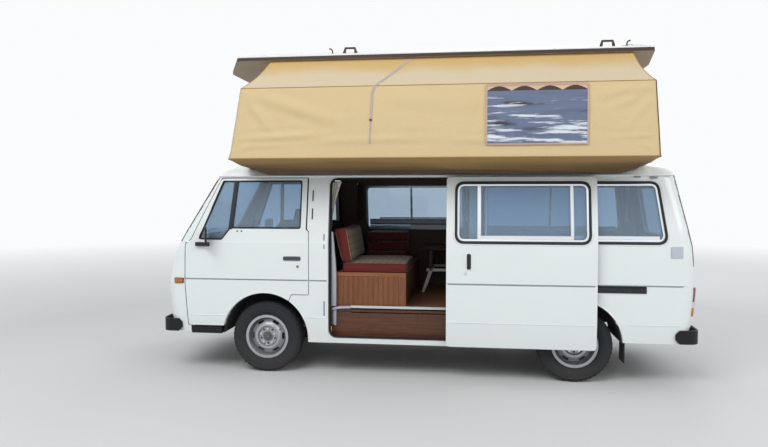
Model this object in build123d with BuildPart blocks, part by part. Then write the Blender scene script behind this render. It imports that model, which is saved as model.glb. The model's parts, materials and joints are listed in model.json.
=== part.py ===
"""Forward-control camper van with a fold-out canvas roof tent.

Millimetres. The nose points along -X, the left side with the sliding door faces -Y, and +Z is up.
The origin is on the ground, below the middle of the van's box.
"""

import os
from math import cos, radians, sin, sqrt

from build123d import *

os.makedirs("parts", exist_ok=True)

# Overall sizes
LENGTH = 4690.0
WHEELBASE = 2690.0
FRONT_OVERHANG = 985.0
HALF_WIDTH = 845.0
FRONT_X = -LENGTH / 2
REAR_X = LENGTH / 2
FRONT_AXLE_X = FRONT_X + FRONT_OVERHANG
REAR_AXLE_X = FRONT_AXLE_X + WHEELBASE

# Walls and gaps
WALL = 45.0
ROOF_WALL = 22.0
DOOR_GAP = 6.0
FRAME_GAP = 12.0
GLASS = 6.0
GLASS_INSET = 14.0

# Reach of cutting shapes past the van
PAST = 255.0
PAST_X0 = FRONT_X - PAST
PAST_X1 = REAR_X + PAST
PAST_Y = HALF_WIDTH + 55
PAST_Z = 2000.0

# Heights of the body's creases
SILL_Z = 305.0
NOSE_BOTTOM_Z = 362.0
TAIL_BOTTOM_Z = 360.0
CREASE_Z = 513.0
BULGE_Z = 775.0
GROOVE_Z = 839.0
FLANK_Z = 1090.0
WAIST_Z = 1170.0
BELT_Z = 1295.0
GUTTER_Z = 1755.0
CROWN_Z = GUTTER_Z + 170

# Body sections from sill to gutter, each a plan outline at one height.
# Columns: height, nose behind the front, nose bow, nose corner radius, tail before the rear, tail bow,
# tail corner radius, side inside the full width
BODY_LEVELS = [
    (SILL_Z - 15, 117, 28, 105, 135, 22, 90, 19),
    (CREASE_Z, 47, 30, 120, 49, 24, 100, 2),
    (BULGE_Z, 27, 30, 125, 27, 24, 105, 0),
    (GROOVE_Z, 43, 30, 130, 24, 24, 110, 0),
    (FLANK_Z, 87, 30, 140, 39, 24, 112, 1),
    (WAIST_Z, 133, 30, 150, 46, 24, 115, 2),
    (BELT_Z, 205, 30, 150, 73, 24, 118, 15),
    (GUTTER_Z, 470, 32, 140, 171, 24, 120, 105),
]

# Roof sections above the gutter, with the same columns
ROOF_LEVELS = [
    BODY_LEVELS[-1],
    (GUTTER_Z + 35, 493, 34, 140, 185, 26, 125, 125),
    (GUTTER_Z + 67, 530, 38, 150, 215, 30, 140, 161),
    (GUTTER_Z + 97, 590, 42, 160, 265, 34, 150, 221),
    (GUTTER_Z + 123, 670, 46, 170, 335, 38, 160, 305),
    (GUTTER_Z + 145, 775, 46, 170, 435, 38, 160, 415),
    (GUTTER_Z + 161, 905, 40, 150, 565, 34, 150, 550),
    (CROWN_Z, 1065, 20, 80, 725, 20, 80, 715),
]

# Cuts through the left side start well inside it
CUT_IN_Y = HALF_WIDTH - 245
CUT_DEPTH = 700.0


def plan_section(height, nose, nose_bow, nose_r, tail, tail_bow, tail_r, half):
    """Plan outline at one height: straight sides, bowed nose and tail, round corners."""
    k = 1 - sqrt(0.5)
    nose_in = nose + nose_bow
    tail_in = tail - tail_bow
    with BuildSketch(Plane.XY.offset(height)) as section:
        with BuildLine():
            Line((nose_in + nose_r, -half), (tail_in - tail_r, -half))
            ThreePointArc(
                (tail_in - tail_r, -half), (tail_in - tail_r * k, -half + tail_r * k), (tail_in, -half + tail_r)
            )
            ThreePointArc((tail_in, -half + tail_r), (tail, 0), (tail_in, half - tail_r))
            ThreePointArc(
                (tail_in, half - tail_r), (tail_in - tail_r * k, half - tail_r * k), (tail_in - tail_r, half)
            )
            Line((tail_in - tail_r, half), (nose_in + nose_r, half))
            ThreePointArc(
                (nose_in + nose_r, half), (nose_in + nose_r * k, half - nose_r * k), (nose_in, half - nose_r)
            )
            ThreePointArc((nose_in, half - nose_r), (nose, 0), (nose_in, -half + nose_r))
            ThreePointArc(
                (nose_in, -half + nose_r), (nose_in + nose_r * k, -half + nose_r * k), (nose_in + nose_r, -half)
            )
        make_face()
    return section.sketch


def body_form(levels, inset, drop=0.0, low=0.0):
    """Solid through the given sections, moved in by inset and down by drop; low lengthens its foot."""
    sections = []
    for row, (z, nose, bow_n, r_n, tail, bow_t, r_t, side_in) in enumerate(levels):
        height = z - drop - (low if row == 0 else 0)
        nose_x = FRONT_X + nose + inset
        tail_x = REAR_X - tail - inset
        width = HALF_WIDTH - side_in - inset
        sections.append(plan_section(height, nose_x, bow_n, r_n - inset, tail_x, bow_t, r_t - inset, width))
    with BuildPart() as form:
        loft(sections, ruled=True)
    return form.part


def side_cut(points, round_r=0.0, grow=0.0, top_r=None):
    """Prism of an outline in side view, through the left side of the body; top_r rounds its upper corners."""
    with BuildPart() as prism:
        with BuildSketch(Plane.XZ.offset(CUT_IN_Y)) as outline:
            with BuildLine():
                Polyline(*points, close=True)
            make_face()
            if top_r:
                fillet(outline.vertices().group_by(Axis.Z)[-1], top_r)
                fillet(outline.vertices().group_by(Axis.Z)[0], round_r)
            elif round_r:
                fillet(outline.vertices(), round_r)
            if grow:
                offset(amount=grow)
        extrude(amount=CUT_DEPTH)
    return prism.part


def both_sides(part, side):
    """The piece itself for the left side (-1), or its mirror image for the right (1)."""
    return part if side < 0 else mirror(part, about=Plane.XZ, mode=Mode.PRIVATE)


def end_cut(points, start_x, length, round_r=0.0, grow=0.0):
    """Prism of an outline in front view, symmetric about the centre plane, along X."""
    with BuildPart() as prism:
        with BuildSketch(Plane.YZ.offset(start_x)) as outline:
            with BuildLine():
                Polyline(*points, *[(-y, z) for y, z in reversed(points)], close=True)
            make_face()
            if round_r:
                fillet(outline.vertices(), round_r)
            if grow:
                offset(amount=grow)
        extrude(amount=length)
    return prism.part


def block(x0, x1, y0, y1, z0, z1):
    """Plain box between two corners."""
    with BuildPart() as box:
        with BuildSketch(Plane.XY.offset(z0)):
            with Locations(((x0 + x1) / 2, (y0 + y1) / 2)):
                Rectangle(abs(x1 - x0), abs(y1 - y0))
        extrude(amount=z1 - z0)
    return box.part


def drum(x, z, radius, y0, y1):
    """Cylinder along Y."""
    with BuildPart() as cylinder:
        with BuildSketch(Plane.XZ.offset(-y1)):
            with Locations((x, z)):
                Circle(radius)
        extrude(amount=y1 - y0)
    return cylinder.part


def save(name, part):
    """Label a finished piece and write it."""
    part.label = name
    export_step(part, f"parts/{name}.step")


# Body forms

outer_low = body_form(BODY_LEVELS, 0.0)
inner_low = body_form(BODY_LEVELS, WALL, low=40.0)
outer_roof = body_form(ROOF_LEVELS, 0.0)
inner_roof = body_form(ROOF_LEVELS, WALL, drop=ROOF_WALL)
glass_outer = body_form(BODY_LEVELS, GLASS_INSET)
glass_inner = body_form(BODY_LEVELS, GLASS_INSET + GLASS)

with BuildPart() as glass_skin:
    add(glass_outer)
    add(glass_inner, mode=Mode.SUBTRACT)

# Wheel arches
ARCH_Z = 330.0
FRONT_ARCH_R = 392.0
REAR_ARCH_R = 384.0
AXLE_Z = 318.0

# Door, window and opening outlines in side view, as (x, z)
DOOR_REAR_X = FRONT_AXLE_X + 398
DOOR_LOW_Z = 714.0
DOOR_SILL_Z = 420.0
DOOR_TOP_Z = GUTTER_Z - 17
DOOR_R = 8.0


def cab_door_outline(frame_back):
    """Outline of the cab door; frame_back moves the rear edge of its window frame."""
    return [
        (FRONT_X + 277, DOOR_SILL_Z),
        (FRONT_X + 251, GROOVE_Z - 39),
        (FRONT_X + 257, WAIST_Z - 20),
        (FRONT_X + 311, WAIST_Z + 22),
        (FRONT_X + 563, DOOR_TOP_Z),
        (DOOR_REAR_X - 23 + frame_back, DOOR_TOP_Z),
        (DOOR_REAR_X - 23 + frame_back, BELT_Z - 8),
        (DOOR_REAR_X, BELT_Z - 30),
        (DOOR_REAR_X, DOOR_LOW_Z),
        (FRONT_AXLE_X + 242, DOOR_LOW_Z),
        (FRONT_AXLE_X + 210, DOOR_LOW_Z - 74),
        (FRONT_AXLE_X - 40, DOOR_SILL_Z),
    ]


FRONT_DOOR_WINDOW = [
    (FRONT_X + 377, WAIST_Z + 26),
    (FRONT_X + 593, WAIST_Z + 24),
    (FRONT_X + 673, BELT_Z),
    (DOOR_REAR_X - 72, BELT_Z),
    (DOOR_REAR_X - 72, DOOR_TOP_Z - 22),
    (FRONT_X + 583, DOOR_TOP_Z - 22),
]
DOOR_WINDOW_R = 18.0
QUARTER_BAR_X = (FRONT_X + 673, FRONT_X + 705)
QUARTER_BAR_HALF = 14.0
BAY_LENGTH = 1225.0
BAY_FRONT_X = DOOR_REAR_X + 177
BAY_REAR_X = BAY_FRONT_X + BAY_LENGTH
BAY_LOW_Z = SILL_Z + 29
BAY_TOP_Z = GUTTER_Z - 12
BAY_R = 75.0
BAY_TOP_R = 28.0
BAY = [(BAY_FRONT_X, BAY_LOW_Z), (BAY_REAR_X, BAY_LOW_Z), (BAY_REAR_X, BAY_TOP_Z), (BAY_FRONT_X, BAY_TOP_Z)]
PANE_LOW_Z = WAIST_Z + 24
PANE_TOP_Z = GUTTER_Z - 61
PANE_FRONT_X = BAY_FRONT_X + 79
PANE_REAR_X = BAY_REAR_X - 52
REAR_PANE_X0 = BAY_REAR_X + 120
REAR_PANE_X1 = REAR_X - 295
REAR_PANE_LEAN = 66.0
CABIN_WINDOW = [
    (PANE_FRONT_X, PANE_LOW_Z),
    (PANE_REAR_X, PANE_LOW_Z),
    (PANE_REAR_X, PANE_TOP_Z),
    (PANE_FRONT_X, PANE_TOP_Z),
]
REAR_WINDOW = [
    (REAR_PANE_X0, PANE_LOW_Z),
    (REAR_PANE_X1, PANE_LOW_Z),
    (REAR_PANE_X1 - REAR_PANE_LEAN, PANE_TOP_Z),
    (REAR_PANE_X0, PANE_TOP_Z),
]
WINDOW_R = 70.0

# Front and rear outlines, half of each from low to high, as (y, z)
WINDSCREEN = [(HALF_WIDTH - 145, WAIST_Z + 26), (HALF_WIDTH - 217, GUTTER_Z - 13)]
WINDSCREEN_R = 60.0
TAILGATE_LOW_Z = CREASE_Z + 43
TAILGATE_HALF = HALF_WIDTH - 141
TAILGATE = [(TAILGATE_HALF - 4, TAILGATE_LOW_Z), (TAILGATE_HALF, WAIST_Z + 10), (TAILGATE_HALF - 64, DOOR_TOP_Z)]
TAILGATE_R = 50.0
TAILGATE_WINDOW = [(TAILGATE_HALF - 104, WAIST_Z + 30), (TAILGATE_HALF - 144, GUTTER_Z - 95)]
TAIL_CUT_X = REAR_X - 395
TAIL_CUT = 500.0
NOSE_CUT = 745.0 + PAST

cab_door_cut = side_cut(cab_door_outline(FRAME_GAP - DOOR_GAP), round_r=DOOR_R, grow=DOOR_GAP)
cab_door_form = side_cut(cab_door_outline(0.0), round_r=DOOR_R)

front_arch_cut = drum(FRONT_AXLE_X, ARCH_Z, FRONT_ARCH_R, -PAST_Y, PAST_Y)
rear_arch_cut = drum(REAR_AXLE_X, ARCH_Z, REAR_ARCH_R, -PAST_Y, PAST_Y)
windscreen_cut = end_cut(WINDSCREEN, PAST_X0, NOSE_CUT, round_r=WINDSCREEN_R)
tailgate_cut = end_cut(TAILGATE, TAIL_CUT_X, TAIL_CUT, round_r=TAILGATE_R, grow=DOOR_GAP)
tailgate_form = end_cut(TAILGATE, TAIL_CUT_X, TAIL_CUT, round_r=TAILGATE_R)
tailgate_window = end_cut(TAILGATE_WINDOW, TAIL_CUT_X, TAIL_CUT, round_r=WINDOW_R)

# Lower body shell, cut to its bottom edges
NOSE_SPLIT_X = FRONT_X + 299
GROOVE_HALF = 6.0
GROOVE_DEPTH = 5.0
with BuildPart() as shell:
    add(outer_low)
    add(inner_low, mode=Mode.SUBTRACT)
    add(block(PAST_X0, NOSE_SPLIT_X, -PAST_Y, PAST_Y, 0, NOSE_BOTTOM_Z), mode=Mode.SUBTRACT)
    add(block(REAR_AXLE_X, PAST_X1, -PAST_Y, PAST_Y, 0, TAIL_BOTTOM_Z), mode=Mode.SUBTRACT)
    add(block(NOSE_SPLIT_X, FRONT_AXLE_X, -PAST_Y, PAST_Y, 0, DOOR_SILL_Z - DOOR_GAP), mode=Mode.SUBTRACT)
    add(front_arch_cut, mode=Mode.SUBTRACT)
    add(rear_arch_cut, mode=Mode.SUBTRACT)
    for side in (-1, 1):
        y0, y1 = sorted((side * PAST_Y, side * (HALF_WIDTH - GROOVE_DEPTH)))
        add(block(PAST_X0, PAST_X1, y0, y1, GROOVE_Z - GROOVE_HALF, GROOVE_Z + GROOVE_HALF), mode=Mode.SUBTRACT)

# Front panel
nose_region = block(PAST_X0, NOSE_SPLIT_X, -PAST_Y, PAST_Y, 0, WAIST_Z)
GRILLE_Z0 = CREASE_Z + 32
GRILLE_Z1 = BULGE_Z - 13
GRILLE_HALF = HALF_WIDTH - 145
GRILLE_R = 12.0
GRILLE_CUT = 420.0
grille_cut = end_cut([(GRILLE_HALF, GRILLE_Z0), (GRILLE_HALF, GRILLE_Z1)], PAST_X0, GRILLE_CUT, round_r=GRILLE_R)
with BuildPart() as front_panel:
    add(shell.part)
    add(nose_region, mode=Mode.INTERSECT)
    add(block(PAST_X0, 0, -PAST_Y, 0, 0, GUTTER_Z), mode=Mode.INTERSECT)
    add(cab_door_cut, mode=Mode.SUBTRACT)
    add(grille_cut, mode=Mode.SUBTRACT)
    mirror(about=Plane.XZ)
save("front_panel", front_panel.part)

# Body sides, both made as the left one
TAIL_PANEL_TOP_Z = TAILGATE_LOW_Z - DOOR_GAP
tail_region = block(REAR_X - 295, PAST_X1, -TAILGATE_HALF, TAILGATE_HALF, 0, TAIL_PANEL_TOP_Z)
for side, name in ((-1, "body_side_left"), (1, "body_side_right")):
    with BuildPart() as body_side:
        add(shell.part)
        add(block(PAST_X0, PAST_X1, -PAST_Y, 0, 0, GUTTER_Z), mode=Mode.INTERSECT)
        add(nose_region, mode=Mode.SUBTRACT)
        add(cab_door_cut, mode=Mode.SUBTRACT)
        add(windscreen_cut, mode=Mode.SUBTRACT)
        add(tailgate_cut, mode=Mode.SUBTRACT)
        add(tail_region, mode=Mode.SUBTRACT)
        if side < 0:
            add(side_cut(BAY, round_r=BAY_R, top_r=BAY_TOP_R), mode=Mode.SUBTRACT)
        else:
            add(side_cut(CABIN_WINDOW, round_r=WINDOW_R), mode=Mode.SUBTRACT)
        add(side_cut(REAR_WINDOW, round_r=WINDOW_R), mode=Mode.SUBTRACT)
    save(name, both_sides(body_side.part, side))

# Tail panel below the tailgate
with BuildPart() as tail_panel:
    add(shell.part)
    add(tail_region, mode=Mode.INTERSECT)
save("tail_panel", tail_panel.part)

# Roof with the opening to the tent
HATCH_X0 = DOOR_REAR_X - 18
HATCH_X1 = REAR_X - 965
HATCH_HALF = 480.0
HATCH_LOW_Z = GUTTER_Z - 55
with BuildPart() as roof:
    add(outer_roof)
    add(inner_roof, mode=Mode.SUBTRACT)
    add(block(HATCH_X0, HATCH_X1, -HATCH_HALF, HATCH_HALF, HATCH_LOW_Z, PAST_Z), mode=Mode.SUBTRACT)
save("roof", roof.part)

# Windscreen and fixed side windows
with BuildPart() as windscreen:
    add(glass_skin.part)
    add(windscreen_cut, mode=Mode.INTERSECT)
save("windscreen", windscreen.part)

with BuildPart() as rear_pane:
    add(glass_skin.part)
    add(side_cut(REAR_WINDOW, round_r=WINDOW_R), mode=Mode.INTERSECT)
with BuildPart() as cabin_pane:
    add(glass_skin.part)
    add(side_cut(CABIN_WINDOW, round_r=WINDOW_R), mode=Mode.INTERSECT)
with BuildPart() as fixed_windows:
    add(rear_pane.part)
    add(both_sides(rear_pane.part, 1))
    add(both_sides(cabin_pane.part, 1))
save("fixed_windows", fixed_windows.part)

# Cab doors, each with its window and quarter light
CAB_HANDLE_X = DOOR_REAR_X - 146
CAB_HANDLE_Z = GROOVE_Z + 192
CAB_RECESS = (148.0, 30.0)
RECESS_R = 9.0
RECESS_DEPTH = 12.0
window_form = side_cut(FRONT_DOOR_WINDOW, round_r=DOOR_WINDOW_R)
bar_form = side_cut(
    [
        (QUARTER_BAR_X[0] - QUARTER_BAR_HALF, BELT_Z - 20),
        (QUARTER_BAR_X[0] + QUARTER_BAR_HALF, BELT_Z - 20),
        (QUARTER_BAR_X[1] + QUARTER_BAR_HALF, DOOR_TOP_Z - 18),
        (QUARTER_BAR_X[1] - QUARTER_BAR_HALF, DOOR_TOP_Z - 18),
    ]
)
with BuildPart() as door_bar:
    add(outer_low)
    add(inner_low, mode=Mode.SUBTRACT)
    add(window_form, mode=Mode.INTERSECT)
    add(bar_form, mode=Mode.INTERSECT)
with BuildPart() as cab_door:
    add(shell.part)
    add(cab_door_form, mode=Mode.INTERSECT)
    add(window_form, mode=Mode.SUBTRACT)
    add(door_bar.part)
    with BuildSketch(Plane.XZ.offset(HALF_WIDTH - RECESS_DEPTH)):
        with Locations((CAB_HANDLE_X, CAB_HANDLE_Z)):
            RectangleRounded(*CAB_RECESS, RECESS_R)
    extrude(amount=CUT_DEPTH, mode=Mode.SUBTRACT)
with BuildPart() as cab_door_glass:
    add(glass_skin.part)
    add(window_form, mode=Mode.INTERSECT)
    add(bar_form, mode=Mode.SUBTRACT)
for side, word in ((-1, "left"), (1, "right")):
    save(f"cab_door_{word}", both_sides(cab_door.part, side))
    save(f"cab_door_glass_{word}", both_sides(cab_door_glass.part, side))

# Sliding door, standing open behind its bay
SLIDE_BACK = BAY_LENGTH - 189
SLIDE_OUT = 78.0
PANEL_X0 = BAY_FRONT_X - 4
PANEL_X1 = BAY_REAR_X + 10
PANEL_Z0 = SILL_Z - 2
PANEL_Z1 = GUTTER_Z - 10
PANEL_R = 30.0
PANEL_RECESS = (32.0, 132.0)
DOOR_PANEL = [(PANEL_X0, PANEL_Z0), (PANEL_X1, PANEL_Z0), (PANEL_X1, PANEL_Z1), (PANEL_X0, PANEL_Z1)]
panel_form = side_cut(DOOR_PANEL, round_r=PANEL_R)
panel_window = side_cut(CABIN_WINDOW, round_r=WINDOW_R)
with BuildPart() as closed_panel:
    add(outer_low)
    add(inner_low, mode=Mode.SUBTRACT)
    y1 = GROOVE_DEPTH - HALF_WIDTH
    add(block(PAST_X0, PAST_X1, -PAST_Y, y1, GROOVE_Z - GROOVE_HALF, GROOVE_Z + GROOVE_HALF), mode=Mode.SUBTRACT)
    add(panel_form, mode=Mode.INTERSECT)
    add(panel_window, mode=Mode.SUBTRACT)
    with BuildSketch(Plane.XZ.offset(HALF_WIDTH - RECESS_DEPTH)):
        with Locations((PANEL_X0 + 190, GROOVE_Z + 193)):
            RectangleRounded(*PANEL_RECESS, RECESS_R)
    extrude(amount=CUT_DEPTH, mode=Mode.SUBTRACT)
with BuildPart() as sliding_door:
    with Locations((SLIDE_BACK, -SLIDE_OUT, 0)):
        add(closed_panel.part)
save("sliding_door", sliding_door.part)

with BuildPart() as closed_glass:
    add(glass_skin.part)
    add(panel_window, mode=Mode.INTERSECT)
with BuildPart() as sliding_door_glass:
    with Locations((SLIDE_BACK, -SLIDE_OUT, 0)):
        add(closed_glass.part)
save("sliding_door_glass", sliding_door_glass.part)

# Rail of the sliding door, and the arm that carries the door on it
RAIL_Z0 = GROOVE_Z - 61
RAIL_Z1 = GROOVE_Z - 11
RAIL_X0 = BAY_REAR_X + 30
RAIL_X1 = RAIL_X0 + SLIDE_BACK + 384
RAIL_OUT = 6.0
CARRIER_X0 = RAIL_X0 + SLIDE_BACK - 136
CARRIER_L = 80.0
with BuildPart() as door_rail:
    add(block(RAIL_X0, RAIL_X1, -HALF_WIDTH - RAIL_OUT, -HALF_WIDTH, RAIL_Z0, RAIL_Z1))
    carrier_y = WALL - HALF_WIDTH - SLIDE_OUT
    add(block(CARRIER_X0, CARRIER_X0 + CARRIER_L, carrier_y, -HALF_WIDTH, RAIL_Z0 + 8, RAIL_Z1 - 8))
save("door_rail", door_rail.part)

# Tailgate and its glass
with BuildPart() as tailgate:
    add(shell.part)
    add(tailgate_form, mode=Mode.INTERSECT)
    add(tailgate_window, mode=Mode.SUBTRACT)
save("tailgate", tailgate.part)
with BuildPart() as tailgate_glass:
    add(glass_skin.part)
    add(tailgate_window, mode=Mode.INTERSECT)
save("tailgate_glass", tailgate_glass.part)

# Floor with its wheel housings
FLOOR_TOP_Z = 600.0
FLOOR_BOTTOM_Z = FLOOR_TOP_Z - 40
HOUSING_WALL = 10.0
HOUSING_GAP = 4.0
FRONT_HOUSING_IN_Y = 415.0
REAR_HOUSING_IN_Y = 560.0
STEP_Y = HALF_WIDTH - 103
STEP_X0 = BAY_FRONT_X + 20
STEP_X1 = BAY_REAR_X - 5
STEP_TREAD_Z = SILL_Z + 40
STEP_PLATE = 12.0
STEP_SIDE = 6.0
SWING_GAP = 8.0
HOUSINGS = [
    (FRONT_AXLE_X, FRONT_ARCH_R + HOUSING_GAP, FRONT_HOUSING_IN_Y),
    (REAR_AXLE_X, REAR_ARCH_R + HOUSING_GAP, REAR_HOUSING_IN_Y),
]
with BuildPart() as floor:
    add(block(PAST_X0, PAST_X1, -PAST_Y, PAST_Y, FLOOR_BOTTOM_Z, FLOOR_TOP_Z))
    add(inner_low, mode=Mode.INTERSECT)
    for axle_x, radius, in_y in HOUSINGS:
        for side in (-1, 1):
            y0, y1 = sorted((side * (in_y - HOUSING_WALL), side * PAST_Y))
            add(drum(axle_x, ARCH_Z, radius + HOUSING_WALL, y0, y1), mode=Mode.SUBTRACT)
    add(block(STEP_X0, STEP_X1, -PAST_Y, -STEP_Y, 0, PAST_Z), mode=Mode.SUBTRACT)
    for side in (-1, 1):
        y0, y1 = sorted((side * (HALF_WIDTH - WALL - SWING_GAP), side * HALF_WIDTH))
        add(block(FRONT_X + 235, DOOR_REAR_X + FRAME_GAP, y0, y1, 0, PAST_Z), mode=Mode.SUBTRACT)
save("floor", floor.part)

with BuildPart() as wheel_housings:
    for axle_x, radius, in_y in HOUSINGS:
        for side in (-1, 1):
            out_y = HALF_WIDTH - WALL - (SWING_GAP if axle_x < 0 else 0)
            y0, y1 = sorted((side * (in_y - HOUSING_WALL), side * out_y))
            add(drum(axle_x, ARCH_Z, radius + HOUSING_WALL, y0, y1))
            y0, y1 = sorted((side * in_y, side * PAST_Y))
            add(drum(axle_x, ARCH_Z, radius, y0, y1), mode=Mode.SUBTRACT)
            x0, x1 = axle_x - radius - PAST, axle_x + radius + PAST
            y0, y1 = sorted((side * (in_y - 3 * HOUSING_WALL), side * PAST_Y))
            add(block(x0, x1, y0, y1, 0, FLOOR_BOTTOM_Z - 20), mode=Mode.SUBTRACT)
    add(inner_low, mode=Mode.INTERSECT)
save("wheel_housings", wheel_housings.part)

# Step well in the bay, with its wooden riser
with BuildPart() as step_well:
    add(block(STEP_X0, STEP_X1, -PAST_Y, STEP_PLATE - STEP_Y, STEP_TREAD_Z - STEP_PLATE, FLOOR_TOP_Z))
    add(block(STEP_X0 + STEP_SIDE, STEP_X1 - STEP_SIDE, -PAST_Y, -STEP_Y, STEP_TREAD_Z, PAST_Z), mode=Mode.SUBTRACT)
    add(block(STEP_X0 - 1, STEP_X1 + 1, -STEP_Y - 1, 0, FLOOR_BOTTOM_Z - 1, PAST_Z), mode=Mode.SUBTRACT)
    add(inner_low, mode=Mode.INTERSECT)
save("step_well", step_well.part)

# Bumpers
BUMPER_Z0 = 365.0
BUMPER_Z1 = 478.0
BUMPER_R = 95.0
BUMPER_WRAP = 235.0
BUMPER_T = 14.0
BUMPER_BEVEL = 34.0
BUMPER_LIFT = 30.0
IRON_Y = (380.0, 440.0)
IRON_L = 120.0


def bumper_form(end_x, inward, bow, half, thick):
    """Channel-shaped bumper that wraps round both corners; inward is the direction to the body."""
    with BuildPart() as form:
        with BuildSketch(Plane.XY.offset(BUMPER_Z0)) as outline:
            wrap_x = end_x + inward * BUMPER_WRAP
            corner_x = end_x + inward * bow
            k = 1 - sqrt(0.5)
            with BuildLine():
                Line((wrap_x, -half), (corner_x + inward * BUMPER_R, -half))
                ThreePointArc(
                    (corner_x + inward * BUMPER_R, -half),
                    (corner_x + inward * BUMPER_R * k, -half + BUMPER_R * k),
                    (corner_x, -half + BUMPER_R),
                )
                ThreePointArc((corner_x, -half + BUMPER_R), (end_x, 0), (corner_x, half - BUMPER_R))
                ThreePointArc(
                    (corner_x, half - BUMPER_R),
                    (corner_x + inward * BUMPER_R * k, half - BUMPER_R * k),
                    (corner_x + inward * BUMPER_R, half),
                )
                Line((corner_x + inward * BUMPER_R, half), (wrap_x, half))
                Line((wrap_x, half), (wrap_x, -half))
            make_face()
        extrude(amount=BUMPER_Z1 - BUMPER_Z0)
        with BuildSketch(Plane.XY.offset(BUMPER_Z0)) as inside:
            add(outline.sketch)
            offset(amount=-thick)
        extrude(amount=BUMPER_Z1 - BUMPER_Z0, mode=Mode.SUBTRACT)
        x0, x1 = sorted((wrap_x - inward * thick, wrap_x + inward))
        add(block(x0, x1, -half - 1, half + 1, 0, PAST_Z), mode=Mode.SUBTRACT)
        end_x = wrap_x - inward * thick
        for z, down in ((BUMPER_Z0, 1), (BUMPER_Z1, -1)):
            with BuildSketch(Plane.XZ):
                with BuildLine():
                    Polyline(
                        (end_x + inward, z - down),
                        (end_x - inward * BUMPER_BEVEL, z - down),
                        (end_x + inward, z + down * BUMPER_BEVEL),
                        close=True,
                    )
                make_face()
            extrude(amount=half + 1, both=True, mode=Mode.SUBTRACT)
    return form.part


for end_x, inward, bow, out, name in (
    (FRONT_X, 1, 28, 14, "front_bumper"),
    (REAR_X, -1, 22, 8, "rear_bumper"),
):
    with BuildPart() as bumper:
        add(bumper_form(end_x, inward, bow, HALF_WIDTH + out, BUMPER_T))
        for side in (-1, 1):
            x0, x1 = sorted((end_x + inward * 8, end_x + inward * IRON_L))
            y0, y1 = sorted((side * IRON_Y[0], side * IRON_Y[1]))
            add(block(x0, x1, y0, y1, BUMPER_Z0 + BUMPER_LIFT, BUMPER_Z1 - BUMPER_LIFT))
        add(outer_low, mode=Mode.SUBTRACT)
    save(name, bumper.part)

# Grille with its bars, and round headlamps in it
GRILLE_BARS = 7
GRILLE_BAR = 12.0
LAMP_R = 84.0
LAMP_Y = GRILLE_HALF - 125
LAMP_Z = (GRILLE_Z0 + GRILLE_Z1) / 2
LAMP_GAP = 1.0
SLOT_HALF = LAMP_Y - LAMP_R - 24
grille_back = body_form(BODY_LEVELS, 34.0)
grille_front = body_form(BODY_LEVELS, 8.0)
with BuildPart() as grille_skin:
    add(grille_front)
    add(grille_back, mode=Mode.SUBTRACT)
    add(grille_cut, mode=Mode.INTERSECT)


def lamp_bores(radius):
    """Both headlamp cylinders, along X through the grille."""
    with BuildPart() as bores:
        with BuildSketch(Plane.YZ.offset(PAST_X0)):
            with Locations((-LAMP_Y, LAMP_Z), (LAMP_Y, LAMP_Z)):
                Circle(radius)
        extrude(amount=GRILLE_CUT)
    return bores.part


with BuildPart() as grille:
    add(grille_skin.part)
    bar_pitch = (GRILLE_Z1 - GRILLE_Z0) / GRILLE_BARS
    for bar in range(GRILLE_BARS):
        slot_z = GRILLE_Z0 + (bar + 0.5) * bar_pitch
        with BuildSketch(Plane.YZ.offset(PAST_X0)):
            with Locations((0, slot_z)):
                Rectangle(2 * SLOT_HALF, bar_pitch - GRILLE_BAR)
        extrude(amount=GRILLE_CUT, mode=Mode.SUBTRACT)
    add(lamp_bores(LAMP_R), mode=Mode.SUBTRACT)
save("grille", grille.part)

with BuildPart() as headlamps:
    add(grille_skin.part)
    add(lamp_bores(LAMP_R - LAMP_GAP), mode=Mode.INTERSECT)
save("headlamps", headlamps.part)

# Tail lamps, set into the rear corners
TAIL_LAMP_Z = (TAILGATE_LOW_Z + 34, GROOVE_Z - 9)
TAIL_LAMP_Y = (HALF_WIDTH - 123, HALF_WIDTH - 33)
TAIL_LAMP_OUT = 9.0
tail_lamp_outer = body_form(BODY_LEVELS, -TAIL_LAMP_OUT)
with BuildPart() as tail_lamps:
    for side in (-1, 1):
        y0, y1 = sorted((side * TAIL_LAMP_Y[0], side * TAIL_LAMP_Y[1]))
        add(block(REAR_X - 145, PAST_X1, y0, y1, *TAIL_LAMP_Z))
    add(tail_lamp_outer, mode=Mode.INTERSECT)
    add(outer_low, mode=Mode.SUBTRACT)
save("tail_lamps", tail_lamps.part)

# Roof frame that carries the bed boards
BOARD_Z = CROWN_Z + 15
BOARD_T = 18.0
BOARD_X0 = HATCH_X0 - 520
BOARD_X1 = HATCH_X1 + 480
BOARD_HALF = 1185.0
FRAME_SILL = 70.0
FRAME_HALF = HATCH_HALF + 160
FRAME_END = 60.0
with BuildPart() as roof_frame:
    add(block(HATCH_X0 - FRAME_END, HATCH_X1 + FRAME_END, -FRAME_HALF, FRAME_HALF, GUTTER_Z + 45, BOARD_Z))
    frame_in_y = FRAME_HALF - FRAME_SILL
    add(block(HATCH_X0, HATCH_X1, -frame_in_y, frame_in_y, HATCH_LOW_Z, PAST_Z), mode=Mode.SUBTRACT)
    add(outer_roof, mode=Mode.SUBTRACT)
save("roof_frame", roof_frame.part)

with BuildPart() as bed_boards:
    add(block(BOARD_X0, BOARD_X1, -BOARD_HALF, BOARD_HALF, BOARD_Z, BOARD_Z + BOARD_T))
    add(block(HATCH_X0, HATCH_X1, -HATCH_HALF, HATCH_HALF, HATCH_LOW_Z, PAST_Z), mode=Mode.SUBTRACT)
save("bed_boards", bed_boards.part)

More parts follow.
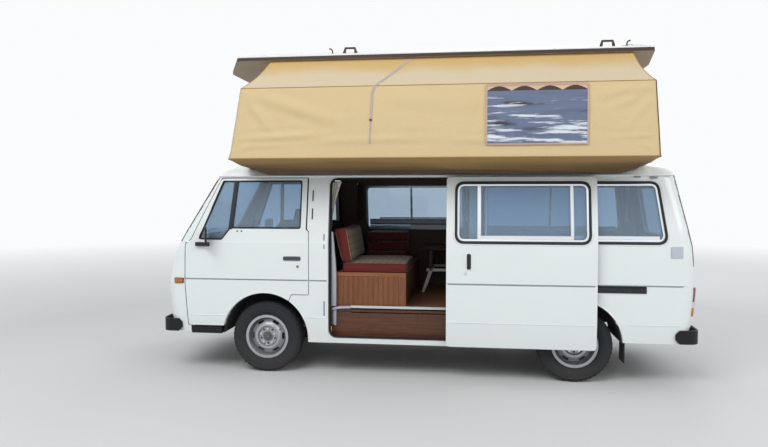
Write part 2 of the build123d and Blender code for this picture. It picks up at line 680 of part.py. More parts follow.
# Tent walls and the canvas below the boards
# Columns: height, front x, rear x, half width, corner radius
HEM_Z = BOARD_Z + BOARD_T
RIDGE_Z = HEM_Z + 508
LID_Z = HEM_Z + 794
LID_HALF = 885.0
CANVAS = 8.0
TENT_LEVELS = [
    (HEM_Z, BOARD_X0 - 30, BOARD_X1 + 28, BOARD_HALF + 33, 60),
    (RIDGE_Z, BOARD_X0 + 58, BOARD_X1 - 10, BOARD_HALF + 15, 50),
    (LID_Z, BOARD_X0 + 210, BOARD_X1 - 100, LID_HALF - 35, 40),
]
SKIRT_LEVELS = [
    (GUTTER_Z + 17, BOARD_X0 + 140, BOARD_X1 - 160, HALF_WIDTH - 97, 60),
    (BOARD_Z - 55, BOARD_X0 - 52, BOARD_X1 + 33, BOARD_HALF + 37, 70),
    TENT_LEVELS[0],
]


def tent_form(levels, inset, stretch=0.0):
    """Solid through rounded rectangles; stretch moves its two ends outwards along Z."""
    last = len(levels) - 1
    sections = []
    for row, (z, x0, x1, half, corner) in enumerate(levels):
        height = z + (stretch if row == last else 0) - (stretch if row == 0 else 0)
        with BuildSketch(Plane.XY.offset(height)) as section:
            with Locations(((x0 + x1) / 2, 0)):
                RectangleRounded(x1 - x0 - 2 * inset, 2 * half - 2 * inset, corner - inset)
        sections.append(section.sketch)
    with BuildPart() as form:
        loft(sections, ruled=True)
    return form.part


with BuildPart() as tent_walls:
    add(tent_form(TENT_LEVELS, 0.0))
    add(tent_form(TENT_LEVELS, CANVAS, stretch=0.01), mode=Mode.SUBTRACT)
save("tent_walls", tent_walls.part)

with BuildPart() as tent_skirt:
    add(tent_form(SKIRT_LEVELS, 0.0))
    add(tent_form(SKIRT_LEVELS, CANVAS, stretch=0.01), mode=Mode.SUBTRACT)
    add(outer_roof, mode=Mode.SUBTRACT)
    add(outer_low, mode=Mode.SUBTRACT)
save("tent_skirt", tent_skirt.part)

# Raised lid, a moulded shell whose rim the canvas hangs from
LID_T = 42.0
LID_X0 = BOARD_X0 - 70
LID_X1 = BOARD_X1 + 52
LID_BOW_FRONT = 270.0
LID_BOW_REAR = 110.0
LID_CROWN = 45.0
LID_SLOPE = 150.0
LID_SKIN = 9.0
LID_RIM = 20.0
LID_R = 40.0


def lid_outline(height, inset):
    """Plan outline of the lid: straight sides and bowed ends."""
    half = LID_HALF - inset
    x0 = LID_X0 + inset
    x1 = LID_X1 - inset
    flat = half * 0.3
    with BuildSketch(Plane.XY.offset(height)) as outline:
        with BuildLine():
            Line((x0, -half), (x1, -half))
            Line((x1, -half), (x1 + LID_BOW_REAR, -flat))
            Line((x1 + LID_BOW_REAR, -flat), (x1 + LID_BOW_REAR, flat))
            Line((x1 + LID_BOW_REAR, flat), (x1, half))
            Line((x1, half), (x0, half))
            Line((x0, half), (x0 - LID_BOW_FRONT, flat))
            Line((x0 - LID_BOW_FRONT, flat), (x0 - LID_BOW_FRONT, -flat))
            Line((x0 - LID_BOW_FRONT, -flat), (x0, -half))
        make_face()
        fillet(outline.vertices(), LID_R)
    return outline.sketch


def lid_hollow(height, inset):
    """Plan outline of the hollow inside the lid, within the top edge of the canvas."""
    top, x0, x1, half, corner = TENT_LEVELS[-1]
    with BuildSketch(Plane.XY.offset(height)) as outline:
        with Locations(((x0 + x1) / 2, 0)):
            RectangleRounded(x1 - x0 - 2 * inset, 2 * half - 2 * inset, corner)
    return outline.sketch


HANDLE_X = (LID_X0 + 987, LID_X1 - 364)
HANDLE_L = 135.0
HANDLE_H = 48.0
HANDLE_BAR = 12.0
with BuildPart() as roof_lid:
    loft([lid_outline(LID_Z, 0), lid_outline(LID_Z + LID_T, 0)], ruled=True)
    loft([lid_outline(LID_Z + LID_T, 0), lid_outline(LID_Z + LID_T + LID_CROWN, LID_SLOPE)], ruled=True)
    hollow_top = LID_Z + LID_T + LID_CROWN - LID_SKIN
    loft([lid_hollow(LID_Z, LID_RIM), lid_hollow(LID_Z + LID_T, LID_RIM)], ruled=True, mode=Mode.SUBTRACT)
    loft([lid_hollow(LID_Z + LID_T, LID_RIM), lid_hollow(hollow_top, LID_SLOPE)], ruled=True, mode=Mode.SUBTRACT)
    for x, side in [(x, side) for x in HANDLE_X for side in (-1, 1)]:
        foot_z = LID_Z + LID_T + 6
        y = side * (LID_HALF - 45)
        with BuildSketch(Plane.XZ.offset(-y)) as loop:
            with BuildLine():
                Polyline(
                    (x - HANDLE_L / 2, foot_z),
                    (x - HANDLE_L / 2 + 22, foot_z + HANDLE_H + 8),
                    (x + HANDLE_L / 2 - 22, foot_z + HANDLE_H + 8),
                    (x + HANDLE_L / 2, foot_z),
                    close=True,
                )
            make_face()
            with Locations((x, foot_z + (HANDLE_H - HANDLE_BAR) / 2)):
                Rectangle(HANDLE_L - 2 * 32, HANDLE_H - HANDLE_BAR + 8, mode=Mode.SUBTRACT)
        extrude(amount=HANDLE_BAR / 2, both=True)
save("roof_lid", roof_lid.part)

# Chassis rails and cross members
RAIL_IN_Y = 330.0
RAIL_OUT_Y = 400.0
RAIL_LOW_Z = FLOOR_BOTTOM_Z - 110
CROSS_W = 70.0
CROSS_LIFT = 20.0
TOW_FACE_X = REAR_X - 145
CROSS_X = (
    FRONT_X + 165,
    FRONT_AXLE_X - 340,
    BAY_FRONT_X + 225,
    BAY_REAR_X - 140,
    REAR_AXLE_X - 330,
    REAR_AXLE_X + 550,
    TOW_FACE_X - CROSS_W,
)
OUTRIGGER_X = (BAY_FRONT_X + 85, BAY_FRONT_X + 725, BAY_REAR_X + 120)
OUTRIGGER_W = 60.0
OUTRIGGER_H = 70.0
OUTRIGGER_Y = HALF_WIDTH - 105

# Interfaces on the chassis: jacking pads, towing eye and tow-bar bolts
JACK_X = (FRONT_AXLE_X + 560, REAR_AXLE_X - 710)
JACK_PAD = 90.0
JACK_DROP = 14.0
EYE_X = FRONT_X + 200
EYE_R = 16.0
EYE_T = 12.0
EYE_TAB = 66.0
TOW_Z = RAIL_LOW_Z + 65
TOW_SPACING_Y = 160.0
TOW_SPACING_Z = 50.0
TOW_HOLE_R = 6.5
with BuildPart() as chassis:
    for side in (-1, 1):
        y0, y1 = sorted((side * RAIL_IN_Y, side * RAIL_OUT_Y))
        add(block(CROSS_X[0], TOW_FACE_X, y0, y1, RAIL_LOW_Z, FLOOR_BOTTOM_Z))
    for x in CROSS_X:
        add(block(x, x + CROSS_W, -RAIL_OUT_Y, RAIL_OUT_Y, RAIL_LOW_Z + CROSS_LIFT, FLOOR_BOTTOM_Z))
    for x in OUTRIGGER_X:
        low_z = FLOOR_BOTTOM_Z - OUTRIGGER_H
        add(block(x, x + OUTRIGGER_W, -OUTRIGGER_Y, OUTRIGGER_Y, low_z, FLOOR_BOTTOM_Z))
    step_in_y = STEP_PLATE + SWING_GAP - STEP_Y
    add(block(STEP_X0 - 10, STEP_X1 + 10, -PAST_Y, step_in_y, 0, PAST_Z), mode=Mode.SUBTRACT)
    for x in JACK_X:
        for side in (-1, 1):
            y0, y1 = sorted((side * RAIL_IN_Y, side * RAIL_OUT_Y))
            add(block(x - JACK_PAD / 2, x + JACK_PAD / 2, y0, y1, RAIL_LOW_Z - JACK_DROP, RAIL_LOW_Z))
    eye_y = -RAIL_IN_Y + EYE_TAB / 2
    tab_x0 = EYE_X - EYE_TAB / 2
    add(block(tab_x0, tab_x0 + EYE_TAB, -RAIL_IN_Y - 1, -RAIL_IN_Y + EYE_TAB, RAIL_LOW_Z, RAIL_LOW_Z + EYE_T))
    with BuildSketch(Plane.XY.offset(RAIL_LOW_Z)):
        with Locations((EYE_X, eye_y)):
            Circle(EYE_R)
    extrude(amount=EYE_T, mode=Mode.SUBTRACT)
    with BuildSketch(Plane.YZ.offset(TOW_FACE_X)):
        with Locations((0, TOW_Z)):
            with GridLocations(TOW_SPACING_Y, TOW_SPACING_Z, 2, 2):
                Circle(TOW_HOLE_R)
    extrude(amount=-CROSS_W, mode=Mode.SUBTRACT)
save("chassis", chassis.part)

# Engine and driveline
ENGINE_X = (FRONT_AXLE_X - 200, FRONT_AXLE_X + 380)
ENGINE_HALF = 215.0
ENGINE_LOW_Z = 340.0
SHAFT_Z = 380.0
DIFF_R = 120.0
# Columns: front end, rear end, height, radius
DRIVE_STEPS = [
    (ENGINE_X[1], ENGINE_X[1] + 160, SHAFT_Z, 115),
    (ENGINE_X[1] + 160, ENGINE_X[1] + 580, SHAFT_Z, 85),
    (ENGINE_X[1] + 580, REAR_AXLE_X - DIFF_R, SHAFT_Z - 20, 38),
]
with BuildPart() as engine:
    add(block(*ENGINE_X, -ENGINE_HALF, ENGINE_HALF, ENGINE_LOW_Z, FLOOR_BOTTOM_Z))
save("engine", engine.part)

with BuildPart() as driveline:
    for x0, x1, height, radius in DRIVE_STEPS:
        with BuildSketch(Plane.YZ.offset(x0)):
            with Locations((0, height)):
                Circle(radius)
        extrude(amount=x1 - x0)
save("driveline", driveline.part)

# Axles
WHEEL_Y = HALF_WIDTH - 145
KINGPIN_Y = WHEEL_Y - 90
TYRE_W = 184.0
STUB_R = 17.9
BEAM_Z = (AXLE_Z - 48, AXLE_Z + 17)
BEAM_HALF_W = 90.0
ARM_LOW_Z = AXLE_Z - 80
ARM_TOP_Z = AXLE_Z + 54
ARM_T = 26.0
ARM_HALF_W = 20.0
with BuildPart() as front_axle:
    add(block(FRONT_AXLE_X - BEAM_HALF_W, FRONT_AXLE_X + BEAM_HALF_W, -RAIL_OUT_Y, RAIL_OUT_Y, *BEAM_Z))
    for side in (-1, 1):
        y0, y1 = sorted((side * RAIL_IN_Y, side * RAIL_OUT_Y))
        add(block(FRONT_AXLE_X - 60, FRONT_AXLE_X + 60, y0, y1, BEAM_Z[1], RAIL_LOW_Z))
        for z0 in (ARM_LOW_Z, ARM_TOP_Z):
            y0, y1 = sorted((side * (RAIL_OUT_Y - ARM_HALF_W), side * (KINGPIN_Y + 8)))
            add(block(FRONT_AXLE_X - ARM_HALF_W, FRONT_AXLE_X + ARM_HALF_W, y0, y1, z0, z0 + ARM_T))
        y0, y1 = sorted((side * (RAIL_OUT_Y - ARM_HALF_W), side * (RAIL_OUT_Y + ARM_HALF_W)))
        add(block(FRONT_AXLE_X - ARM_T, FRONT_AXLE_X + ARM_T, y0, y1, ARM_LOW_Z, ARM_TOP_Z + ARM_T))
save("front_axle", front_axle.part)

KINGPIN_R = 17.0
PIN_CLEAR = 1.0
DISC_R = 118.0
pin_z = ARM_LOW_Z + ARM_T + PIN_CLEAR
for side, word in ((-1, "left"), (1, "right")):
    with BuildPart() as knuckle:
        with BuildSketch(Plane.XY.offset(pin_z)):
            with Locations((FRONT_AXLE_X, side * KINGPIN_Y)):
                Circle(KINGPIN_R)
        extrude(amount=ARM_TOP_Z - PIN_CLEAR - pin_z)
        y0, y1 = sorted((side * (KINGPIN_Y + 10), side * (WHEEL_Y + 20)))
        add(drum(FRONT_AXLE_X, AXLE_Z, STUB_R, y0, y1))
        y0, y1 = sorted((side * (KINGPIN_Y + 32), side * (WHEEL_Y - 6)))
        add(drum(FRONT_AXLE_X, AXLE_Z, DISC_R, y0, y1))
    save(f"knuckle_{word}", knuckle.part)

REAR_TUBE_R = 42.0
REAR_DRUM_R = 125.0
SPRING_Y = 365.0
SPRING_W = 60.0
SPRING_X = (REAR_AXLE_X - 600, REAR_AXLE_X + 620)
SPRING_TOP = (RAIL_LOW_Z - 10, AXLE_Z + 62)
SPRING_LOW = (RAIL_LOW_Z - 38, AXLE_Z + 27)
SHACKLE_W = 40.0
with BuildPart() as rear_axle:
    drum_y = WHEEL_Y - 100
    add(drum(REAR_AXLE_X, AXLE_Z, REAR_TUBE_R, -drum_y, drum_y))
    with BuildSketch(Plane.XY.offset(AXLE_Z)):
        with Locations((REAR_AXLE_X, 0)):
            Circle(DIFF_R)
    extrude(amount=80, both=True)
    for side in (-1, 1):
        y0, y1 = sorted((side * (drum_y - 10), side * (drum_y + 12)))
        add(drum(REAR_AXLE_X, AXLE_Z, REAR_DRUM_R, y0, y1))
        y0, y1 = sorted((side * drum_y, side * (WHEEL_Y + 20)))
        add(drum(REAR_AXLE_X, AXLE_Z, STUB_R, y0, y1))
        with BuildSketch(Plane.XZ.offset(-(side * SPRING_Y + SPRING_W / 2))):
            with BuildLine():
                ThreePointArc((SPRING_X[0], SPRING_TOP[0]), (REAR_AXLE_X, SPRING_TOP[1]), (SPRING_X[1], SPRING_TOP[0]))
                Line((SPRING_X[1], SPRING_TOP[0]), (SPRING_X[1], SPRING_LOW[0]))
                ThreePointArc((SPRING_X[1], SPRING_LOW[0]), (REAR_AXLE_X, SPRING_LOW[1]), (SPRING_X[0], SPRING_LOW[0]))
                Line((SPRING_X[0], SPRING_LOW[0]), (SPRING_X[0], SPRING_TOP[0]))
            make_face()
        extrude(amount=SPRING_W)
        y0, y1 = sorted((side * (SPRING_Y - SPRING_W / 2), side * (SPRING_Y + SPRING_W / 2)))
        for x in (SPRING_X[0], SPRING_X[1] - SHACKLE_W):
            add(block(x, x + SHACKLE_W, y0, y1, SPRING_LOW[0] + 3, RAIL_LOW_Z))
save("rear_axle", rear_axle.part)

# Wheels. A tyre is a ruled loft of many-sided sections, bored round for its rim.
TYRE_R = AXLE_Z
TYRE_SIDES = 48
RIM_SEAT_R = 178.0
RIM_EDGE_R = 195.0
RIM_T = 6.0
RIM_FIT = 0.2
HUB_R = 60.0
BORE_R = STUB_R + 0.3
half = TYRE_W / 2
# Columns: distance from the middle plane, radius
TYRE_HALF_PROFILE = [
    (half - 22, RIM_EDGE_R + 6),
    (half, (RIM_EDGE_R + TYRE_R) / 2),
    (half - 11, TYRE_R - 15),
    (half - 30, TYRE_R - 3),
    (0, TYRE_R),
]
TYRE_PROFILE = [(-y, r) for y, r in TYRE_HALF_PROFILE[:-1]] + TYRE_HALF_PROFILE[::-1]
rim_side = half - 22 + RIM_FIT
RIM_PROFILE = [
    (-rim_side - RIM_T, RIM_SEAT_R - RIM_T),
    (-rim_side - RIM_T, RIM_EDGE_R),
    (-rim_side, RIM_EDGE_R),
    (-rim_side, RIM_SEAT_R),
    (rim_side, RIM_SEAT_R),
    (rim_side, RIM_EDGE_R),
    (rim_side + RIM_T, RIM_EDGE_R),
    (rim_side + RIM_T, RIM_SEAT_R - RIM_T),
    (20, RIM_SEAT_R - RIM_T),
    (26, 150),
    (58, 110),
    (58, 85),
    (40, 80),
    (40, 50),
    (56, 38),
    (56, 0),
    (22, 0),
    (22, BORE_R),
    (0, BORE_R),
    (0, HUB_R),
    (34, 84),
    (50, 88),
    (50, 106),
    (16, 146),
    (10, RIM_SEAT_R - RIM_T),
]
WHEELS = [
    ("front_left", FRONT_AXLE_X, -1),
    ("front_right", FRONT_AXLE_X, 1),
    ("rear_left", REAR_AXLE_X, -1),
    ("rear_right", REAR_AXLE_X, 1),
]
VENTS = 6
VENT_R = 138.0
VENT_L = 62.0
VENT_W = 20.0
for name, x, side in WHEELS:
    centre = (x, side * WHEEL_Y, AXLE_Z)
    sections = []
    for y, radius in TYRE_PROFILE:
        with BuildSketch(Plane(origin=(x, side * WHEEL_Y + y, AXLE_Z), x_dir=(1, 0, 0), z_dir=(0, 1, 0))) as ring:
            RegularPolygon(radius, TYRE_SIDES)
        sections.append(ring.sketch)
    with BuildPart() as tyre:
        loft(sections, ruled=True)
        add(drum(x, AXLE_Z, RIM_SEAT_R + RIM_FIT, side * WHEEL_Y - TYRE_W, side * WHEEL_Y + TYRE_W), mode=Mode.SUBTRACT)
    save(f"tyre_{name}", tyre.part)
    with BuildPart() as rim:
        with BuildSketch(Plane(origin=centre, x_dir=(0, side, 0), z_dir=(1, 0, 0))):
            with BuildLine():
                Polyline(*RIM_PROFILE, close=True)
            make_face()
        revolve(axis=Axis((x, 0, AXLE_Z), (0, 1, 0)))
        with BuildSketch(Plane(origin=centre, x_dir=(1, 0, 0), z_dir=(0, side, 0))):
            with PolarLocations(VENT_R, VENTS):
                SlotOverall(VENT_L, VENT_W, rotation=90)
        extrude(amount=half, mode=Mode.SUBTRACT)
    save(f"rim_{name}", rim.part)

# Mudflaps, sill steps
FLAP_X = REAR_AXLE_X + REAR_ARCH_R + 18
FLAP_T = 8.0
FLAP_Y = (WHEEL_Y - 100, WHEEL_Y + 75)
FLAP_LOW_Z = 175.0
with BuildPart() as mudflaps:
    for side in (-1, 1):
        y0, y1 = sorted((side * FLAP_Y[0], side * FLAP_Y[1]))
        add(block(FLAP_X, FLAP_X + FLAP_T, y0, y1, FLAP_LOW_Z, FLOOR_BOTTOM_Z))
save("mudflaps", mudflaps.part)

SILL_STEP_X = (NOSE_SPLIT_X + 6, FRONT_AXLE_X - FRONT_ARCH_R - 10)
SILL_STEP_Z = (DOOR_SILL_Z - 72, DOOR_SILL_Z - 12)
with BuildPart() as cab_steps:
    for side in (-1, 1):
        y0, y1 = sorted((side * (HALF_WIDTH - 205), side * (HALF_WIDTH - 8)))
        add(block(*SILL_STEP_X, y0, y1, *SILL_STEP_Z))
save("cab_steps", cab_steps.part)

# Mirrors: a foot on the door, an arm and a plate turned towards the driver
FOOT_X = (FRONT_X + 359, FRONT_X + 469)
FOOT_Z = (WAIST_Z - 36, WAIST_Z - 1)
FOOT_OUT = 26.0
ARM_R = 6.0
MIRROR_X = FRONT_X + 492
MIRROR_Y = HALF_WIDTH + 86
MIRROR_W = 128.0
MIRROR_H = 160.0
MIRROR_T = 18.0
MIRROR_TURN = 22.0
MIRROR_R = 22.0
for side, word in ((-1, "left"), (1, "right")):
    with BuildPart() as mirror_piece:
        add(block(*FOOT_X, -HALF_WIDTH - FOOT_OUT, 8 - HALF_WIDTH, *FOOT_Z))
        add(outer_low, mode=Mode.SUBTRACT)
        add(block(FOOT_X[1] - 30, MIRROR_X, -HALF_WIDTH - FOOT_OUT - 12, 4 - HALF_WIDTH - FOOT_OUT, *FOOT_Z))
        with BuildSketch(Plane.XZ.offset(HALF_WIDTH + FOOT_OUT)):
            with Locations((MIRROR_X - ARM_R, FOOT_Z[1] - 3 * ARM_R / 2)):
                Circle(ARM_R)
        extrude(amount=MIRROR_Y - HALF_WIDTH - FOOT_OUT)
        facing = (cos(radians(MIRROR_TURN)), sin(radians(MIRROR_TURN)), 0)
        plate_z = FOOT_Z[1] - 19 + MIRROR_H / 2
        with BuildSketch(Plane(origin=(MIRROR_X - MIRROR_T / 2, -MIRROR_Y, plate_z), x_dir=(0, 0, 1), z_dir=facing)):
            RectangleRounded(MIRROR_H, MIRROR_W, MIRROR_R)
        extrude(amount=MIRROR_T / 2, both=True)
    save(f"mirror_{word}", both_sides(mirror_piece.part, side))

# Cab interior
DASH_Z = WAIST_Z - 20
SEAT_Y = 440.0
SEAT_W = 480.0
HOOD_W = 300.0
with BuildPart() as dashboard:
    with BuildSketch(Plane.XZ.offset(-HALF_WIDTH)):
        with BuildLine():
            Polyline(
                (FRONT_X + 45, DASH_Z - 250),
                (FRONT_X + 285, DASH_Z - 250),
                (FRONT_X + 360, DASH_Z - 70),
                (FRONT_X + 335, DASH_Z),
                (FRONT_X + 45, DASH_Z),
                close=True,
            )
        make_face()
    extrude(amount=2 * HALF_WIDTH)
    with BuildSketch(Plane.XZ.offset(-SEAT_Y - HOOD_W / 2)):
        with BuildLine():
            Polyline(
                (FRONT_X + 255, DASH_Z - 20),
                (FRONT_X + 275, DASH_Z + 38),
                (FRONT_X + 338, DASH_Z + 30),
                (FRONT_X + 332, DASH_Z - 20),
                close=True,
            )
        make_face()
    extrude(amount=HOOD_W)
    add(inner_low, mode=Mode.INTERSECT)
    for side in (-1, 1):
        y0, y1 = sorted((side * (HALF_WIDTH - WALL - 3 * SWING_GAP), side * HALF_WIDTH))
        add(block(FRONT_X + 195, FRONT_X + 445, y0, y1, 0, PAST_Z), mode=Mode.SUBTRACT)
save("dashboard", dashboard.part)

STEER_CENTRE = (FRONT_X + 495, SEAT_Y - 20, WAIST_Z - 35)
STEER_TILT = 58.0
STEER_R = 195.0
GRIP_R = 11.0
SPOKE_W = 34.0
SPOKE_T = 12.0
BOSS_R = 56.0
COLUMN_R = 28.0
COLUMN_L = 150.0
steer_axis = (cos(radians(STEER_TILT)), 0, sin(radians(STEER_TILT)))
across_axis = (-sin(radians(STEER_TILT)), 0, cos(radians(STEER_TILT)))
steer_plane = Plane(origin=STEER_CENTRE, x_dir=(0, 1, 0), z_dir=steer_axis)
with BuildPart() as steering_wheel:
    with BuildSketch(Plane(origin=STEER_CENTRE, x_dir=(0, 1, 0), z_dir=across_axis)):
        with Locations((STEER_R, 0)):
            Circle(GRIP_R)
    revolve(axis=Axis(STEER_CENTRE, steer_axis))
    with BuildSketch(steer_plane):
        Rectangle(2 * STEER_R, SPOKE_W)
        Circle(BOSS_R)
    extrude(amount=SPOKE_T / 2, both=True)
    with BuildSketch(steer_plane):
        Circle(COLUMN_R)
    extrude(amount=-COLUMN_L)
    add(dashboard.part, mode=Mode.SUBTRACT)
save("steering_wheel", steering_wheel.part)

SEAT_Z = FLOOR_TOP_Z + 290
PEDESTAL_W = 380.0
PAD_R = 24.0


def seat_pad(points, y, width, radius=0.0):
    """Pad of a seat, as its side outline with round corners drawn across the seat."""
    with BuildPart() as pad:
        with BuildSketch(Plane.XZ.offset(-y - width / 2)) as outline:
            with BuildLine():
                Polyline(*points, close=True)
            make_face()
            if radius:
                fillet(outline.vertices(), radius)
        extrude(amount=width)
    return pad.part


PEDESTAL = [
    (FRONT_AXLE_X - 250, FLOOR_TOP_Z),
    (FRONT_AXLE_X - 270, SEAT_Z + 20),
    (FRONT_AXLE_X + 190, SEAT_Z + 10),
    (FRONT_AXLE_X + 200, FLOOR_TOP_Z),
]
SWAB = [
    (FRONT_AXLE_X - 305, SEAT_Z),
    (FRONT_AXLE_X - 295, SEAT_Z + 118),
    (FRONT_AXLE_X + 180, SEAT_Z + 85),
    (FRONT_AXLE_X + 170, SEAT_Z - 10),
]
SQUAB = [
    (FRONT_AXLE_X + 125, SEAT_Z + 40),
    (FRONT_AXLE_X + 238, SEAT_Z + 590),
    (FRONT_AXLE_X + 312, SEAT_Z + 580),
    (FRONT_AXLE_X + 245, SEAT_Z + 30),
]
with BuildPart() as cab_seats:
    for side in (-1, 1):
        add(seat_pad(PEDESTAL, side * SEAT_Y, PEDESTAL_W))
        add(seat_pad(SWAB, side * SEAT_Y, SEAT_W, PAD_R))
        add(seat_pad(SQUAB, side * SEAT_Y, SEAT_W, PAD_R))
        y0, y1 = sorted((side * (FRONT_HOUSING_IN_Y - HOUSING_WALL), side * PAST_Y))
        housing_r = FRONT_ARCH_R + HOUSING_GAP + HOUSING_WALL
        add(drum(FRONT_AXLE_X, ARCH_Z, housing_r, y0, y1), mode=Mode.SUBTRACT)
save("cab_seats", cab_seats.part)

# Camper furniture
BENCH_X0 = BAY_FRONT_X + 43
BENCH_L = 630.0
BENCH_X1 = BENCH_X0 + BENCH_L
BENCH_HALF = HALF_WIDTH - 120
BENCH_Z = FLOOR_TOP_Z + 302
BENCH_BOARD = 18.0
BOARD_PITCH = 45.0
BOARD_COUNT = 13
BOARD_GROOVE = 4.0
BOARD_RAIL = 34.0
with BuildPart() as bench_base:
    add(block(BENCH_X0, BENCH_X1, -BENCH_HALF, BENCH_HALF, FLOOR_TOP_Z, BENCH_Z))
    inner_half = BENCH_HALF - BENCH_BOARD
    x0, x1 = BENCH_X0 + BENCH_BOARD, BENCH_X1 - BENCH_BOARD
    add(block(x0, x1, -inner_half, inner_half, FLOOR_TOP_Z - 1, BENCH_Z - BENCH_BOARD), mode=Mode.SUBTRACT)
    for board in range(BOARD_COUNT):
        x = BENCH_X0 + BOARD_PITCH * (board + 0.5)
        y = BOARD_GROOVE - BENCH_HALF
        groove = block(x, x + BOARD_GROOVE, -BENCH_HALF - 1, y, FLOOR_TOP_Z - 1, BENCH_Z - BOARD_RAIL)
        add(groove, mode=Mode.SUBTRACT)
save("bench_base", bench_base.part)

CUSHION_H = 85.0
CUSHION_R = 20.0
CUSHION_Y1 = 80.0
BACK_TOP_Z = BENCH_Z + 390
with BuildPart() as bench_cushion:
    add(block(BENCH_X0 + 50, BENCH_X1 + 15, 3 - BENCH_HALF, CUSHION_Y1, BENCH_Z, BENCH_Z + CUSHION_H))
    fillet(bench_cushion.edges().filter_by(Axis.Z), CUSHION_R)
save("bench_cushion", bench_cushion.part)

with BuildPart() as bench_back:
    with BuildSketch(Plane.XZ.offset(-CUSHION_Y1)):
        with BuildLine():
            Polyline(
                (BENCH_X0 - 28, BACK_TOP_Z),
                (BENCH_X0 + 97, BACK_TOP_Z + 8),
                (BENCH_X0 + 150, BENCH_Z + CUSHION_H + 1),
                (BENCH_X0 + 50, BENCH_Z + CUSHION_H + 1),
                close=True,
            )
        make_face()
    extrude(amount=CUSHION_Y1 + BENCH_HALF - 25)
save("bench_back", bench_back.part)

SPARE_H = 95.0
SPARE_PITCH = 101.0
SPARE_COUNT = 3
with BuildPart() as spare_cushions:
    for row in range(SPARE_COUNT):
        z0 = BENCH_Z + row * SPARE_PITCH
        add(block(BENCH_X0 + 102, BENCH_X1 - 78, CUSHION_Y1 + 250, BENCH_HALF - 5, z0, z0 + SPARE_H))
save("spare_cushions", spare_cushions.part)

TABLE_X0 = BENCH_X1 + 52
TABLE_L = 700.0
TABLE_Y1 = BENCH_HALF - 25
TABLE_W = 540.0
TABLE_TOP_Z = FLOOR_TOP_Z + 454
TABLE_T = 24.0
TRESTLE_W = 26.0
table_y0 = TABLE_Y1 - TABLE_W
under_z = TABLE_TOP_Z - TABLE_T
with BuildPart() as table:
    add(block(TABLE_X0, TABLE_X0 + TABLE_L, table_y0, TABLE_Y1, under_z, TABLE_TOP_Z))
    for x in (TABLE_X0 + 30, TABLE_X0 + TABLE_L - 80):
        with BuildSketch(Plane.YZ.offset(x)):
            with BuildLine():
                Polyline(
                    (table_y0 + 90, under_z),
                    (table_y0 + 40, FLOOR_TOP_Z),
                    (table_y0 + 80, FLOOR_TOP_Z),
                    (table_y0 + 140, under_z - 40),
                    (TABLE_Y1 - 140, under_z - 40),
                    (TABLE_Y1 - 80, FLOOR_TOP_Z),
                    (TABLE_Y1 - 40, FLOOR_TOP_Z),
                    (TABLE_Y1 - 90, under_z),
                    close=True,
                )
            make_face()
        extrude(amount=TRESTLE_W)
save("table", table.part)

CABINET_X = (REAR_AXLE_X - 510, REAR_X - 285)
CABINET_Y = (HALF_WIDTH - 515, HALF_WIDTH - 100)
CABINET_Z = WAIST_Z - 20
WORKTOP_T = 24.0
WORKTOP_OUT = 14.0
with BuildPart() as kitchen_cabinet:
    add(block(*CABINET_X, *CABINET_Y, FLOOR_TOP_Z, CABINET_Z - WORKTOP_T))
    x0, x1 = CABINET_X[0] - WORKTOP_OUT, CABINET_X[1]
    add(block(x0, x1, CABINET_Y[0] - WORKTOP_OUT, CABINET_Y[1], CABINET_Z - WORKTOP_T, CABINET_Z))
    for axle_x, radius, in_y in HOUSINGS:
        add(drum(axle_x, ARCH_Z, radius + HOUSING_WALL, in_y - HOUSING_WALL, PAST_Y), mode=Mode.SUBTRACT)
save("kitchen_cabinet", kitchen_cabinet.part)

CURTAIN_Y = (HALF_WIDTH - 190, HALF_WIDTH - 162)
CURTAIN_Z = (BELT_Z + 10, GUTTER_Z - 55)
# Columns: front edge, rear edge, side of the van
CURTAINS = [
    (BAY_FRONT_X + 17, BAY_FRONT_X + 85, -1),
    (BAY_FRONT_X + 17, BAY_FRONT_X + 70, 1),
    (BAY_REAR_X - 40, BAY_REAR_X + 30, 1),
    (BAY_REAR_X + 30, BAY_REAR_X + 100, -1),
    (REAR_PANE_X1, REAR_PANE_X1 + 40, 1),
]
with BuildPart() as curtains:
    for x0, x1, side in CURTAINS:
        y0, y1 = sorted((side * CURTAIN_Y[0], side * CURTAIN_Y[1]))
        add(block(x0, x1, y0, y1, *CURTAIN_Z))
save("curtains", curtains.part)

# Fuel tank and exhaust
TANK_X0 = BAY_FRONT_X + 305
TANK_L = 900.0
TANK_Y = (HALF_WIDTH - 415, HALF_WIDTH - 125)
TANK_Z = (FLOOR_BOTTOM_Z - 260, FLOOR_BOTTOM_Z - OUTRIGGER_H - 2)
TANK_R = 40.0
with BuildPart() as fuel_tank:
    add(block(TANK_X0, TANK_X0 + TANK_L, *TANK_Y, *TANK_Z))
    fillet(fuel_tank.edges().filter_by(Axis.X), TANK_R)
save("fuel_tank", fuel_tank.part)

EXHAUST_Y = 220.0
EXHAUST_Z = 380.0
SILENCER_X = REAR_AXLE_X - 1080
SILENCER_L = 480.0
SILENCER_AXES = (95.0, 62.0)
PIPE_R = 22.0
# Columns: front end, rear end
PIPES = [(FRONT_AXLE_X + 540, SILENCER_X + 10), (SILENCER_X + SILENCER_L - 10, SILENCER_X + SILENCER_L + 230)]
with BuildPart() as exhaust:
    with BuildSketch(Plane.YZ.offset(SILENCER_X)):
        with Locations((EXHAUST_Y, EXHAUST_Z)):
            Ellipse(*SILENCER_AXES)
    extrude(amount=SILENCER_L)
    for x0, x1 in PIPES:
        with BuildSketch(Plane.YZ.offset(x0)):
            with Locations((EXHAUST_Y, EXHAUST_Z)):
                Circle(PIPE_R)
        extrude(amount=x1 - x0)
save("exhaust", exhaust.part)
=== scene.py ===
"""Looks of the camper van: painted panels, glass, canvas roof tent, wheels and the furnished cabin.

Metres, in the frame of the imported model: nose along -X, left side along -Y, up along +Z.
"""

